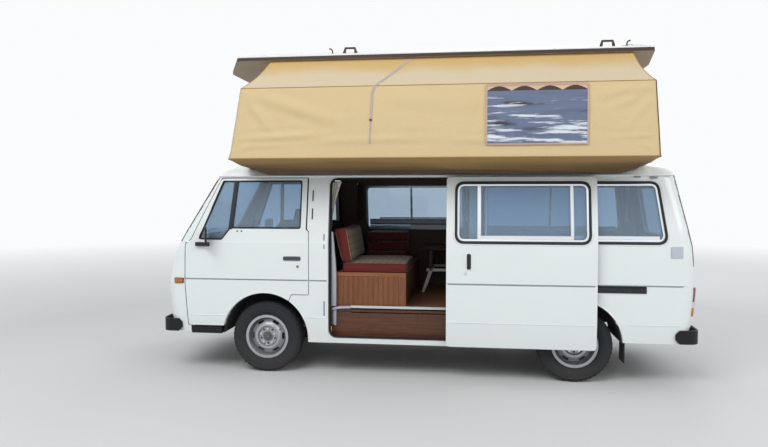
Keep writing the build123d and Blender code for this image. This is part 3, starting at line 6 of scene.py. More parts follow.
import json
from contextlib import contextmanager
from math import atan2, cos, exp, pi, radians, sin, sqrt

import bmesh
import bpy
from mathutils import Matrix, Vector, noise

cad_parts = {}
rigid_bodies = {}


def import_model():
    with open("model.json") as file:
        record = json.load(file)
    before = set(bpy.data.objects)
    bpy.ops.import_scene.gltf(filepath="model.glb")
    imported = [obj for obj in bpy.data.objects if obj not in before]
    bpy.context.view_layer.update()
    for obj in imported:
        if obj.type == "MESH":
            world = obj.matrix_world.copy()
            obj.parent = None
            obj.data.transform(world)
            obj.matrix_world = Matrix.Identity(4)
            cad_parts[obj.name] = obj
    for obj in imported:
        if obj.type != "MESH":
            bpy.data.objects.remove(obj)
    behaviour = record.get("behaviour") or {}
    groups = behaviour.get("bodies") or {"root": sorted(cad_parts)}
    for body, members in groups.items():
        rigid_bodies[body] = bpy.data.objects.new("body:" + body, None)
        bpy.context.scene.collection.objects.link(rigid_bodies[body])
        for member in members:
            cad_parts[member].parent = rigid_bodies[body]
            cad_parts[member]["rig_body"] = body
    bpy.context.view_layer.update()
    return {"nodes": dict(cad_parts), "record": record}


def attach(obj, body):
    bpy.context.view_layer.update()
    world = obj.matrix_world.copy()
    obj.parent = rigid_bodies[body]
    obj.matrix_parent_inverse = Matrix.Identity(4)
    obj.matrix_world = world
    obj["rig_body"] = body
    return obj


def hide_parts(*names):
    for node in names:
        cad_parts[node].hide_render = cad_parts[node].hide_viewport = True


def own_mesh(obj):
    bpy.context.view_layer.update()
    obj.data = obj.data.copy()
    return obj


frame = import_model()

# Body surface. Columns: z, nose x, nose bow, nose corner, tail x, tail bow, tail corner, half width
BODY_LEVELS = [
    (0.29, -2.228, 0.028, 0.105, 2.21, 0.022, 0.09, 0.826),
    (0.513, -2.298, 0.03, 0.12, 2.296, 0.024, 0.1, 0.843),
    (0.775, -2.318, 0.03, 0.125, 2.318, 0.024, 0.105, 0.845),
    (0.839, -2.302, 0.03, 0.13, 2.321, 0.024, 0.11, 0.845),
    (1.09, -2.258, 0.03, 0.14, 2.306, 0.024, 0.112, 0.844),
    (1.17, -2.212, 0.03, 0.15, 2.299, 0.024, 0.115, 0.843),
    (1.295, -2.14, 0.03, 0.15, 2.272, 0.024, 0.118, 0.83),
    (1.755, -1.875, 0.032, 0.14, 2.174, 0.024, 0.12, 0.74),
]
NOSE, TAIL, HALF_WIDTH = 1, 4, 7
LEFT, RIGHT = -1, 1
SIDES = ((LEFT, "left"), (RIGHT, "right"))
SLIDE = Vector((1.036, -0.078, 0))
GUTTER_Z = 1.755
FLOOR_Z = 0.6
AXLE_X = {"front": -1.36, "rear": 1.33}
AXLE_Z = 0.318
WHEEL_Y = 0.7
UP = Vector((0, 0, 1))


def between(low, high, share):
    """Values part of the way from one row to another."""
    return [a + (b - a) * share for a, b in zip(low, high)]


def section_at(levels, z):
    """Columns of a table of sections, worked out at one height."""
    z = min(max(z, levels[0][0]), levels[-1][0])
    for low, high in zip(levels, levels[1:]):
        if z <= high[0]:
            return between(low, high, (z - low[0]) / (high[0] - low[0]))


def side_point(x, z, out=0.0, side=LEFT):
    """Point on the body's side, moved outwards."""
    return Vector((x, side * (section_at(BODY_LEVELS, z)[HALF_WIDTH] + out), z))


def end_point(end, y, z, out=0.0):
    """Point on the nose or the tail, moved outwards."""
    row = section_at(BODY_LEVELS, z)
    face, bow, radius = row[end:end + 3]
    flat = row[HALF_WIDTH] - radius
    across = abs(y)
    if across <= flat:
        back = bow * (across / flat) ** 2
    else:
        back = bow + radius - sqrt(radius ** 2 - min(across - flat, radius) ** 2)
    return Vector((face + (-1 if end == NOSE else 1) * (out - back), y, z))


def side_place(side, shift=Vector((0, 0, 0))):
    """Placing function for outlines in side view."""
    return lambda x, z, out: side_point(x, z, out, side) + shift


def end_place(end):
    """Placing function for outlines in end view."""
    return lambda y, z, out: end_point(end, y, z, out)


def linear(color):
    """Colour written as it looks on a screen, 0 to 255, in the shader's units."""
    return (*((c / 255 / 12.92) if c <= 10 else ((c / 255 + 0.055) / 1.055) ** 2.4 for c in color), 1)


# Node trees

class Graph:
    """Node tree with short ways to place and join nodes; an input is a socket or a plain value."""

    def __init__(self, tree):
        self.nodes, self.links = tree.nodes, tree.links

    def join(self, value, socket):
        """Feeds an input from a socket, or gives it a value."""
        if isinstance(value, bpy.types.NodeSocket):
            self.links.new(value, socket)
        elif value is not None:
            socket.default_value = value

    def node(self, kind, inputs, **settings):
        """Node of a kind, with its settings and inputs."""
        node = self.nodes.new("ShaderNode" + kind)
        for name, value in settings.items():
            setattr(node, name, value)
        for key, value in inputs.items():
            self.join(value, node.inputs[key])
        return node

    def place(self, kind="Object"):
        """Coordinates of the piece: Object or UV."""
        return self.node("TexCoord", {}).outputs[kind]

    def axes(self, vector):
        """The three coordinates of a vector."""
        return self.node("SeparateXYZ", {0: vector}).outputs

    def scaled(self, vector, factors):
        """Vector times three factors."""
        return self.node("VectorMath", {0: vector, 1: factors}, operation="MULTIPLY").outputs[0]

    def math(self, value, *steps, clamp=False):
        """Chain of sums: operation and other value in turn; clamp holds the last one within 0 and 1."""
        for operation, other in zip(steps[::2], steps[1::2]):
            node = self.node("Math", {0: value, 1: other}, operation=operation)
            value = node.outputs[0]
        node.use_clamp = clamp
        return value

    def mix(self, share, first, second, blend="MIX"):
        """Mix of two colours."""
        inputs = {0: share, 6: first, 7: second}
        return self.node("Mix", inputs, data_type="RGBA", blend_type=blend).outputs[2]

    def noise(self, vector, scale, detail=4.0, rough=0.55):
        """Noise between 0 and 1."""
        inputs = {"Vector": vector, "Scale": scale, "Detail": detail, "Roughness": rough}
        return self.node("TexNoise", inputs).outputs["Fac"]


class Group(Graph):
    """Shader group; its sockets come by name, with a default value that shows their kind."""

    def __init__(self, name, inputs, outputs):
        self.tree = bpy.data.node_groups.new(name, "ShaderNodeTree")
        super().__init__(self.tree)
        for way, sockets in (("INPUT", inputs), ("OUTPUT", outputs)):
            for socket, value in sockets.items():
                kind = {1: "Float", 3: "Vector", 4: "Color"}[len(value) if isinstance(value, tuple) else 1]
                made = self.tree.interface.new_socket(socket, in_out=way, socket_type="NodeSocket" + kind)
                made.default_value = value
        self.given = self.nodes.new("NodeGroupInput").outputs
        self.result = self.nodes.new("NodeGroupOutput").inputs


BLANK = (0.5, 0.5, 0.5, 1)


def make_ageing():
    """Uneven tone, dust that gathers low down, and the gloss that goes with them."""
    group = Group(
        "ageing",
        {"Color": BLANK, "Dirt": BLANK, "Uneven": 0.05, "Scale": 3.0, "Dust": 0.2, "Dust Height": 0.6,
         "Gloss": 0.3},
        {"Color": BLANK, "Roughness": 0.5},
    )
    given = group.given
    place = group.place()
    broad = group.noise(place, given["Scale"])
    fine = group.noise(place, 42.0, detail=6.0)
    low = group.math(group.axes(place)["Z"], "DIVIDE", given["Dust Height"])
    low = group.math(1.0, "SUBTRACT", low, clamp=True)
    patches = group.math(fine, "ADD", 0.35)
    dust = group.math(low, "MULTIPLY", low, "MULTIPLY", patches, "MULTIPLY", given["Dust"], clamp=True)
    tone = group.math(broad, "SUBTRACT", 0.5, "MULTIPLY", given["Uneven"], "ADD", 1.0)
    toned = group.node("VectorMath", {0: given["Color"], "Scale": tone}, operation="SCALE").outputs[0]
    spread = group.math(dust, "MULTIPLY", 0.6)
    rough = group.math(fine, "SUBTRACT", 0.5, "MULTIPLY", 0.12, "ADD", given["Gloss"], "ADD", spread,
                       clamp=True)
    group.join(group.mix(dust, toned, given["Dirt"]), group.result["Color"])
    group.join(rough, group.result["Roughness"])
    return group.tree


def make_grain():
    """Moulded grain of plastic and rubber."""
    group = Group("grain", {"Scale": 900.0}, {"Height": 0.0})
    inputs = {"Vector": group.place(), "Scale": group.given["Scale"]}
    cells = group.node("TexVoronoi", inputs, feature="DISTANCE_TO_EDGE")
    group.join(group.math(cells.outputs["Distance"], "MULTIPLY", 1.6, clamp=True), group.result["Height"])
    return group.tree


def make_weave():
    """Plain weave of cloth, as two crossed sets of threads on the piece's own UV map, in metres."""
    group = Group("weave", {"Threads": 700.0, "Slub": 0.3}, {"Height": 0.0, "Shade": 1.0})
    threads, slub = group.given["Threads"], group.given["Slub"]
    place = group.place("UV")
    axes = group.axes(place)
    warp, weft = (group.math(axes[axis], "MULTIPLY", threads, "MULTIPLY", pi, "SINE", None, "ABSOLUTE", None)
                  for axis in "XY")
    uneven = group.noise(place, 60.0, detail=5.0)
    height = group.math(warp, "MAXIMUM", weft, "ADD", group.math(uneven, "MULTIPLY", slub))
    group.join(height, group.result["Height"])
    group.join(group.math(uneven, "SUBTRACT", 0.5, "MULTIPLY", slub, "ADD", 1.0), group.result["Shade"])
    return group.tree


def make_veneer():
    """Wood grain along the axis that Stretch draws out, with darker rings and fine pores."""
    group = Group("veneer", {"Light": BLANK, "Dark": BLANK, "Scale": 9.0, "Stretch": (1.0, 1.0, 0.08)},
                  {"Color": BLANK, "Height": 0.0})
    given = group.given
    place = group.scaled(group.place(), given["Stretch"])
    broad = group.noise(place, given["Scale"], detail=6.0, rough=0.65)
    pores = group.noise(place, 160.0, detail=3.0)
    fine = group.math(pores, "MULTIPLY", 0.45)
    share = group.math(broad, "MULTIPLY", 9.0, "FRACT", None, "MULTIPLY", 0.55, "ADD", fine, clamp=True)
    group.join(group.mix(share, given["Light"], given["Dark"]), group.result["Color"])
    group.join(pores, group.result["Height"])
    return group.tree


AGEING = make_ageing()
GRAIN = make_grain()
WEAVE = make_weave()
VENEER = make_veneer()


class Finish(Graph):
    """A material under construction, with its shader; names of inputs have spaces as underscores."""

    def __init__(self, name, **inputs):
        self.material = bpy.data.materials.new(name)
        self.material.use_nodes = True
        super().__init__(self.material.node_tree)
        self.shader = self.nodes["Principled BSDF"]
        for key, value in inputs.items():
            self.drive(key.replace("_", " "), value)

    def drive(self, key, value):
        """Feeds one input of the shader."""
        self.join(value, self.shader.inputs[key])

    def group(self, tree, **values):
        """Places a node group; gives its outputs."""
        inputs = {key.replace("_", " "): value for key, value in values.items()}
        node = self.nodes.new("ShaderNodeGroup")
        node.node_tree = tree
        for key, value in inputs.items():
            self.join(value, node.inputs[key])
        return node.outputs

    def aged(self, color, uneven, scale, dust, dust_height, gloss):
        """Colour and roughness from the ageing group."""
        made = self.group(AGEING, Color=linear(color), Uneven=uneven, Scale=scale, Dust=dust,
                          Dust_Height=dust_height, Gloss=gloss, Dirt=(0.22, 0.19, 0.15, 1))
        self.drive("Base Color", made["Color"])
        self.drive("Roughness", made["Roughness"])

    def bump(self, height, strength, distance):
        """Bump from a height socket, stacked on what already drives the normal."""
        node = self.node("Bump", {"Strength": strength, "Distance": distance, "Height": height})
        socket = self.shader.inputs["Normal"]
        if socket.is_linked:
            self.links.new(socket.links[0].from_socket, node.inputs["Normal"])
        self.links.new(node.outputs["Normal"], socket)

    def woven(self, color, threads, slub, strength, depth):
        """Base colour and bump of woven cloth."""
        weave = self.group(WEAVE, Threads=threads, Slub=slub)
        self.drive("Base Color", self.mix(1.0, color, weave["Shade"], "MULTIPLY"))
        self.bump(weave["Height"], strength, depth)


def paint(name, color, gloss=0.22, dust=0.22, dust_height=0.62, uneven=0.03, metallic=0.0):
    """Enamel with a clear gloss, a slight waviness and dust low down."""
    finish = Finish(name, Coat_Weight=0.55, Coat_Roughness=0.06, Metallic=metallic)
    finish.aged(color, uneven, 1.4, dust, dust_height, gloss)
    finish.bump(finish.noise(finish.place(), 2.6, detail=1.0), 0.25, 0.004)
    return finish.material


def plastic(name, color, gloss=0.5, dust=0.25, grain=0.3, specular=0.4, uneven=0.15):
    """Moulded plastic or rubber with a fine grain."""
    finish = Finish(name, Specular_IOR_Level=specular)
    finish.aged(color, uneven, 5.0, dust, 1.0, gloss)
    finish.bump(finish.group(GRAIN, Scale=420.0)["Height"], grain, 0.0004)
    return finish.material


def metal(name, color, gloss=0.3, uneven=0.12, dust=0.1):
    """Bare or plated metal."""
    finish = Finish(name, Metallic=1.0)
    finish.aged(color, uneven, 6.0, dust, 0.8, gloss)
    return finish.material


def glass(name, tint):
    """Clear pane with a tint; its two faces make it a real sheet."""
    finish = Finish(name, Base_Color=tint, Roughness=0.0, Transmission_Weight=0.8, IOR=1.45)
    finish.bump(finish.noise(finish.place(), 3.0, detail=1.0), 0.06, 0.002)
    return finish.material


def lens(name, color, axis):
    """Moulded lamp lens with fine ribs."""
    ribs = 260.0
    finish = Finish(name, Base_Color=linear(color), Roughness=0.12, Coat_Weight=0.6, Transmission_Weight=0.25)
    wave = finish.math(finish.axes(finish.place())[axis], "MULTIPLY", ribs * 2 * pi, "SINE", None)
    finish.bump(wave, 0.5, 0.0015)
    return finish.material


def wood(name, light, dark, stretch=(1.0, 1.0, 0.08), rough=0.42):
    """Veneered wood."""
    finish = Finish(name, Roughness=rough, Coat_Weight=0.12)
    made = finish.group(VENEER, Light=linear(light), Dark=linear(dark), Scale=9.0, Stretch=stretch)
    finish.bump(made["Height"], 0.2, 0.0006)
    finish.drive("Base Color", made["Color"])
    return finish.material


def cloth(name, color, threads, depth=0.0006, slub=0.25, sheen=0.1, plaid=()):
    """Woven cloth on the piece's UV map, in metres; plaid lists bands by axis, pitch, share and colour."""
    finish = Finish(name, Roughness=0.85, Specular_IOR_Level=0.2, Sheen_Weight=sheen)
    base = linear(color)
    axes = finish.axes(finish.place("UV"))
    for axis, pitch, width, tint in plaid:
        band = finish.math(axes[axis], "DIVIDE", pitch, "FRACT", None, "LESS_THAN", width, "MULTIPLY", 0.6)
        base = finish.mix(band, base, linear(tint))
    finish.woven(base, threads, slub, 0.5, depth)
    return finish.material


def canvas(name, side, slope, stain, ridge_v, top_v, edge=60.0):
    """Old tent canvas on the UV map in metres: another tone above the ridge, golden below the lid."""
    finish = Finish(name, Roughness=0.85, Specular_IOR_Level=0.15, Sheen_Weight=0.1)
    place = finish.place("UV")
    up = finish.axes(place)["Y"]
    above = finish.math(up, "SUBTRACT", ridge_v, "MULTIPLY", edge, clamp=True)
    color = finish.mix(above, linear(side), linear(slope))
    uneven = finish.math(finish.noise(place, 1.7, detail=5.0), "SUBTRACT", 0.5)
    near_top = finish.math(up, "SUBTRACT", top_v - 0.27, "MULTIPLY", 5.0, "ADD", uneven, "MULTIPLY", 1.2,
                           clamp=True)
    color = finish.mix(near_top, color, linear(stain))
    mottle = finish.math(finish.noise(place, 4.0, detail=8.0, rough=0.6), "SUBTRACT", 0.56, clamp=True)
    finish.woven(finish.mix(mottle, color, linear(stain)), 520.0, 0.12, 0.35, 0.0004)
    finish.bump(finish.noise(place, 9.0, detail=6.0, rough=0.5), 0.35, 0.006)
    return finish.material


def clear_sheet(name, wide, tall):
    """Old clear plastic on its UV map: lengthwise ripples, painted reflections as a blue-grey base with dark
    streaks and white glints, and the brown roll behind its top.
    """
    finish = Finish(name, Roughness=0.16, Specular_IOR_Level=0.6)
    place = finish.place("UV")
    along, up = finish.axes(place)["X"], finish.axes(place)["Y"]
    ripple = finish.noise(finish.scaled(place, (2.2, 26.0, 1.0)), 1.0, detail=5.0, rough=0.6)
    # Broad streaks that turn dark: painted reflection of shade
    band = finish.noise(finish.scaled(place, (1.3, 9.0, 1.0)), 1.0, detail=3.0)
    low = finish.math(0.62, "SUBTRACT", finish.math(up, "DIVIDE", tall), "MULTIPLY", 0.16)
    # Glint: painted highlight on the ripples, likelier lower down
    glint = finish.math(ripple, "ADD", low, "SUBTRACT", 0.56, "MULTIPLY", 14.0, clamp=True)
    dark = finish.math(band, "SUBTRACT", 0.53, "MULTIPLY", 12.0, clamp=True)
    # Blue-grey base: painted reflection of the sky
    color = finish.mix(dark, linear((96, 108, 134)), linear((46, 44, 52)))
    color = finish.mix(glint, color, linear((214, 218, 226)))
    scallops = finish.math(along, "MULTIPLY", 4 * pi / wide, "SINE", None, "ABSOLUTE", None,
                           "MULTIPLY", 0.036)
    away = finish.math(tall - 0.048, "SUBTRACT", up)
    above = finish.math(away, "LESS_THAN", 0.0)
    roll = finish.math(away, "ADD", scallops, "GREATER_THAN", 0.0, "MULTIPLY", above)
    color = finish.mix(above, color, linear((205, 176, 146)))
    finish.drive("Base Color", finish.mix(roll, color, linear((62, 36, 28))))
    finish.bump(ripple, 0.6, 0.006)
    return finish.material


PAINT = paint("white_enamel", (226, 231, 230))
PAINT_INNER = paint("inner_enamel", (196, 200, 200), gloss=0.4, dust=0.3)
LID_WHITE = paint("lid_gelcoat", (224, 226, 224), gloss=0.35, dust=0.0)
POST_GREY = paint("post_grey", (176, 176, 190), gloss=0.5, dust=0.1)
# Grey bead round the windows' pressed edge: painted shade of the pressed edge
PRESSED_EDGE_SHADE = paint("pressed_edge_painted_shade", (196, 201, 202), gloss=0.5)
FLAP_GREY = paint("flap_grey", (182, 188, 196), gloss=0.35)
PLATE_WHITE = paint("plate_white", (214, 214, 206), gloss=0.3)
PLATE_YELLOW = paint("plate_yellow", (214, 178, 60), gloss=0.3)
WHEEL_SILVER = paint("wheel_silver", (176, 179, 184), 0.3, 0.3, dust_height=0.9, uneven=0.1, metallic=0.55)
RIM_SHADE = paint("rim_shade", (74, 78, 86), 0.5, 0.4, dust_height=0.9, uneven=0.3)
BUMPER_BLACK = plastic("bumper_black", (17, 17, 20), 0.5, 0.05, specular=0.3)
BLACK_PLASTIC = plastic("black_plastic", (30, 31, 33), 0.42, 0.12)
RUBBER = plastic("black_rubber", (24, 24, 25), 0.55, 0.1)
TYRE = plastic("tyre_rubber", (40, 42, 46), 0.8, 0.12, specular=0.25)
UNDERSEAL = plastic("underseal", (42, 42, 41), 0.8, 0.4)
CHASSIS_BLACK = plastic("chassis_black", (34, 33, 32), 0.62, 0.5)
CAST = plastic("cast_iron", (70, 67, 63), 0.7, 0.5, uneven=0.4)
HANDLE_GREY = plastic("handle_grey", (66, 72, 80), 0.35, 0.0)
SHADOW_GREY = plastic("groove_grey", (134, 140, 144), 0.8, 0.0)
RAIL_GREY = plastic("window_rail_grey", (128, 134, 138), 0.6, 0.0)
# Flat pale and white stand for the lit aluminium of the far window's rails: painted highlight
RAIL_PAINTED_SHEEN = plastic("window_rail_painted_sheen", (196, 200, 204), 0.5, 0.0)
RAIL_PAINTED_HIGHLIGHT = plastic("window_rail_painted_highlight", (246, 247, 248), 0.4, 0.0)
TABLE_TOP = plastic("table_top", (70, 48, 40), 0.75, grain=0.05, specular=0.2)
LAMINATE = plastic("table_laminate", (206, 202, 192), 0.32, grain=0.05)
FLOOR_VINYL = plastic("floor_vinyl", (112, 72, 44), 0.5, 0.1, uneven=0.3)
TRIM_BROWN = plastic("trim_brown", (54, 44, 38), 0.6, 0.05)
LINING = plastic("side_lining", (72, 58, 48), 0.6, 0.05)
HEADLINING = plastic("headlining", (178, 170, 154), 0.8, 0.0, grain=0.4)
# The lid's underside, its recess and the lower edge of its rim are drawn darker than the gelcoat: painted
# shade; the darkest colour also serves the real hooks and handles
LID_UNDER_PAINTED_SHADE = plastic("lid_underside_painted_shade", (170, 158, 138), 0.7, 0.0, grain=0.2)
LID_HOOKS_AND_EDGE_SHADE = plastic("lid_hooks_and_edge_shade", (58, 44, 38), 0.55, 0.0)
LID_RECESS_PAINTED_SHADE = plastic("lid_recess_painted_shade", (92, 70, 46), 0.7, 0.0)
PIPING = plastic("canvas_piping", (92, 66, 44), 0.7, 0.0)
PIPING_GREY = plastic("piping_grey", (196, 190, 184), 0.7, 0.0)
SEAM = plastic("canvas_seam", (160, 126, 80), 0.8, 0.0)
WEBBING = plastic("webbing", (180, 165, 158), 0.8, 0.0)
PVC_FRAME = plastic("window_hem", (190, 160, 146), 0.75, 0.0)
BRIGHT = metal("bright_trim", (225, 227, 230), 0.16, 0.04)
ALUMINIUM = metal("window_aluminium", (224, 228, 232), 0.3, 0.06)
EXHAUST_STEEL = metal("exhaust_steel", (110, 100, 90), 0.6, 0.5)
GLASS = glass("window_glass", (0.50, 0.65, 0.80, 1))
AMBER = lens("amber_lens", (214, 120, 28), "X")
RED_LENS = lens("red_lens", (168, 26, 24), "Z")
CLEAR_LENS = lens("clear_lens", (225, 228, 232), "Y")
WOOD_BOARDS = wood("bench_boards", (134, 80, 40), (96, 52, 23))
WOOD_CABINET = wood("cabinet_wood", (150, 90, 46), (104, 56, 24))
WOOD_RAIL = wood("rail_wood", (152, 92, 48), (116, 66, 30), (0.06, 1.0, 1.0))
WOOD_RISER = wood("riser_wood", (104, 58, 27), (58, 31, 13), (0.08, 1.0, 1.0))
PLY = wood("board_ply", (186, 150, 104), (150, 112, 70), (0.06, 1.0, 1.0), rough=0.7)
PLAID = cloth("plaid_wool", (100, 82, 56), 260.0, 0.0012, 0.5, 0.2, plaid=[
    ("X", 0.060, 0.35, (78, 82, 50)), ("Y", 0.060, 0.35, (64, 42, 30)),
    ("X", 0.030, 0.16, (190, 164, 124)), ("Y", 0.060, 0.10, (126, 42, 36)),
])
RED_CLOTH = cloth("red_cloth", (98, 38, 37), 420.0, slub=0.3)
SEAT_CLOTH = cloth("seat_cloth", (74, 62, 54), 360.0, slub=0.4, sheen=0.2)
# Dark curtain for the far side by the bay, where the cabin only lies in shade: painted shade
CURTAIN_PAINTED_SHADE = cloth("curtain_painted_shade", (66, 52, 42), 640.0)
CURTAIN = cloth("curtain_cloth", (222, 218, 206), 640.0)
# The ridge and the lid lie this far up the wall's cloth; the skirt has neither, so its top is out of reach
CANVAS = canvas("tent_canvas", (210, 187, 144), (203, 187, 158), (199, 168, 112), ridge_v=0.581, top_v=1.033)
# The underside is the same canvas in darker browns, darkest away from the crease: painted shade under the
# tent
CANVAS_PAINTED_SHADE = canvas("tent_canvas_painted_shade", (166, 134, 84), (98, 74, 44), (120, 88, 50), 0.05, 9.0, edge=5.0)


# Making and dressing pieces

def body_of(node):
    """Name of the body that a CAD node rides on."""
    return frame["nodes"][node]["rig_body"]


def slot_of(node):
    """Material slot of a CAD node in the record."""
    return next(s["material_slot"] for s in frame["record"]["subparts"] if s["node"] == node)


def add_object(name, data):
    """New object in the scene."""
    made = bpy.data.objects.new(name, data)
    bpy.context.scene.collection.objects.link(made)
    return made


def new_piece(name, bm, materials, slot, body="van", replaces=(), sharp=35.0):
    """Turns a bmesh into a piece of the van that rides on a body."""
    mesh = bpy.data.meshes.new(name)
    bm.to_mesh(mesh)
    bm.free()
    for material in materials:
        mesh.materials.append(material)
    mesh.shade_smooth()
    mesh.set_sharp_from_angle(angle=radians(sharp))
    piece = add_object(name, mesh)
    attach(piece, body)
    if replaces:
        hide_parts(*replaces)
    return piece


@contextmanager
def building(name, materials, slot, body="van", replaces=(), sharp=35.0):
    """Opens an empty mesh and makes it a piece once its forms are in."""
    bm = bmesh.new()
    yield bm
    new_piece(name, bm, materials, slot, body, replaces, sharp)


def round_edges(piece, width):
    """Small rounded edges that catch the light, with flat faces kept flat."""
    bevel = piece.modifiers.new("edges", "BEVEL")
    bevel.width = width
    bevel.segments = 2
    bevel.limit_method = "ANGLE"
    bevel.angle_limit = radians(38)
    bevel.harden_normals = False
    bevel.miter_outer = "MITER_ARC"
    normals = piece.modifiers.new("normals", "WEIGHTED_NORMAL")
    normals.keep_sharp = True


def slice_mesh(bm, at, normal):
    """Cuts all faces of a mesh along a plane."""
    bmesh.ops.bisect_plane(bm, geom=bm.verts[:] + bm.edges[:] + bm.faces[:], plane_co=at, plane_no=normal)


def copy_node(node, name, materials, pick, edge=0.003, levels=(), sharp=30.0):
    """Finer copy of a CAD node, cut at heights, with rounded edges; pick gives a face's material number."""
    bm = bmesh.new()
    bm.from_mesh(frame["nodes"][node].data)
    bmesh.ops.remove_doubles(bm, verts=bm.verts, dist=2e-5)
    bmesh.ops.dissolve_degenerate(bm, edges=bm.edges, dist=1e-5)
    bmesh.ops.dissolve_limit(bm, angle_limit=radians(0.7), verts=bm.verts, edges=bm.edges)
    for height in levels:
        slice_mesh(bm, UP * height, UP)
    bm.normal_update()
    for face in bm.faces:
        face.material_index = pick(face.calc_center_median(), face.normal)
    round_edges(new_piece(name, bm, materials, slot_of(node), body_of(node), [node], sharp), edge)


def layered_copy(node, name, materials, levels, edge=0.002):
    """Copy of a CAD node whose finish changes at the given heights."""
    copy_node(node, name, materials, lambda centre, normal: sum(centre.z > z for z in levels), edge, levels)


def dress(node, material):
    """Gives a CAD node its finish and lets its curved faces shade smoothly."""
    piece = frame["nodes"][node]
    piece.data.materials.clear()
    piece.data.materials.append(material)
    piece.data.shade_smooth()
    weld = piece.modifiers.new("weld", "WELD")
    weld.merge_threshold = 2e-5
    bpy.context.view_layer.update()
    split = piece.modifiers.new("edges", "EDGE_SPLIT")
    split.split_angle = radians(35)


# Forms to build a mesh from

def paint_faces(faces, material):
    """Gives faces their material number."""
    for face in faces:
        face.material_index = material


def bevel_faces(bm, faces, width):
    """Rounds every edge of some faces."""
    if width:
        edges = {edge for face in faces for edge in face.edges}
        bmesh.ops.bevel(bm, geom=list(edges), offset=width, affect="EDGES", segments=2, profile=0.5,
                        material=-1)


def add_bar(bm, low, high, bevel=0.002, material=0):
    """Bar between two corners, with rounded edges."""
    low, high = Vector(low), Vector(high)
    verts = bmesh.ops.create_cube(bm, size=1.0)["verts"]
    bmesh.ops.scale(bm, vec=high - low, verts=verts)
    bmesh.ops.translate(bm, vec=(low + high) / 2, verts=verts)
    faces = {face for vert in verts for face in vert.link_faces}
    paint_faces(faces, material)
    bevel_faces(bm, faces, bevel)


def add_prism(bm, points, y0, y1, material=0, bevel=0.0):
    """Block with a given outline in side view, between two planes."""
    fore, aft = ([bm.verts.new((x, y, z)) for x, z in points] for y in (y0, y1))
    faces = [bm.faces.new(fore), bm.faces.new(aft)]
    for i in range(len(points)):
        faces.append(bm.faces.new((fore[i - 1], fore[i], aft[i], aft[i - 1])))
    paint_faces(faces, material)
    bmesh.ops.recalc_face_normals(bm, faces=faces)
    bevel_faces(bm, faces, bevel)


def add_rod(bm, start, end, radius, segments=12, radius_end=None, material=0):
    """Round rod between two points."""
    start, end = Vector(start), Vector(end)
    way = end - start
    turn = UP.rotation_difference(way).to_matrix().to_4x4()
    made = bmesh.ops.create_cone(bm, cap_ends=True, segments=segments, radius1=radius,
                                 radius2=radius if radius_end is None else radius_end, depth=way.length,
                                 matrix=Matrix.Translation((start + end) / 2) @ turn)
    paint_faces({face for vert in made["verts"] for face in vert.link_faces}, material)


def add_bead(bm, points, radius, closed=True, material=0):
    """Round bead that follows points."""
    curve = bpy.data.curves.new("bead", "CURVE")
    curve.dimensions = "3D"
    curve.bevel_depth = radius
    curve.bevel_resolution = 2
    curve.use_fill_caps = True
    spline = curve.splines.new("POLY")
    spline.points.add(len(points) - 1)
    for slot, point in zip(spline.points, points):
        slot.co = (*point, 1)
    spline.use_cyclic_u = closed
    carrier = add_object("bead", curve)
    bpy.context.view_layer.update()
    mesh = bpy.data.meshes.new_from_object(carrier)
    first = len(bm.faces)
    bm.from_mesh(mesh)
    bm.faces.ensure_lookup_table()
    paint_faces(bm.faces[first:], material)
    bpy.data.objects.remove(carrier)
    bpy.data.curves.remove(curve)
    bpy.data.meshes.remove(mesh)


def inset_corners(corners, amount):
    """Corners of a convex 2-D outline moved inwards."""
    count = len(corners)
    area = sum(corners[i - 1][0] * corners[i][1] - corners[i][0] * corners[i - 1][1] for i in range(count))
    turn = 1 if area > 0 else -1
    moved = []
    for i in range(count):
        before, here, after = (Vector(corners[k % count]) for k in (i - 1, i, i + 1))
        first = (here - before).normalized()
        second = (after - here).normalized()
        side = Vector((-first.y, first.x)) * turn
        middle = (side + Vector((-second.y, second.x)) * turn).normalized()
        moved.append(here + middle * (amount / max(0.3, middle.dot(side))))
    return moved


def rounded_outline(corners, radius, steps=7):
    """Points round a closed outline of 2-D corners, with round corners."""
    points = []
    count = len(corners)
    for i in range(count):
        before, here, after = (Vector(corners[k % count]) for k in (i - 1, i, i + 1))
        into = (before - here).normalized()
        out = (after - here).normalized()
        half = into.angle(out) / 2
        reach = min(radius / max(0.05, abs(sin(half) / max(1e-6, cos(half)))), (before - here).length / 2.01,
                    (after - here).length / 2.01)
        a, b = here + into * reach, here + out * reach
        for step in range(steps + 1):
            t = step / steps
            points.append(a * (1 - t) ** 2 + here * 2 * t * (1 - t) + b * t ** 2)
    return points


def add_loop(bm, points, closed=True):
    """Edges along a row of new points."""
    verts = [bm.verts.new(point) for point in points]
    return [bm.edges.new((a, b)) for a, b in zip(verts, verts[1:] + verts[:closed])]


def add_skin(bm, loops, closed, material, cap=False):
    """Faces between loops of edges in turn; cap fills the last loop, or the open ends of a closed skin."""
    faces = []
    for first, second in zip(loops, loops[1:] + loops[:closed]):
        faces += bmesh.ops.bridge_loops(bm, edges=first + second)["faces"]
    if cap and closed:
        ends = [e for e in bm.edges if len(e.link_faces) == 1 and e.link_faces[0] in faces]
        faces += bmesh.ops.holes_fill(bm, edges=ends, sides=4)["faces"]
    elif cap:
        faces += bmesh.ops.edgeloop_fill(bm, edges=loops[-1])["faces"]
    paint_faces(faces, material)
    bmesh.ops.recalc_face_normals(bm, faces=faces)


def add_frame(bm, corners, radius, profile, place, material=0, steps=7):
    """Ring round a window; profile lists inwards, outwards and, if given, its own radius, closed."""
    loops = []
    for inwards, outwards, *own in profile:
        bend = own[0] if own else max(0.004, radius - inwards)
        ring = rounded_outline(inset_corners(corners, inwards), bend, steps)
        loops.append(add_loop(bm, [place(x, z, outwards) for x, z in ring]))
    add_skin(bm, loops, True, material)


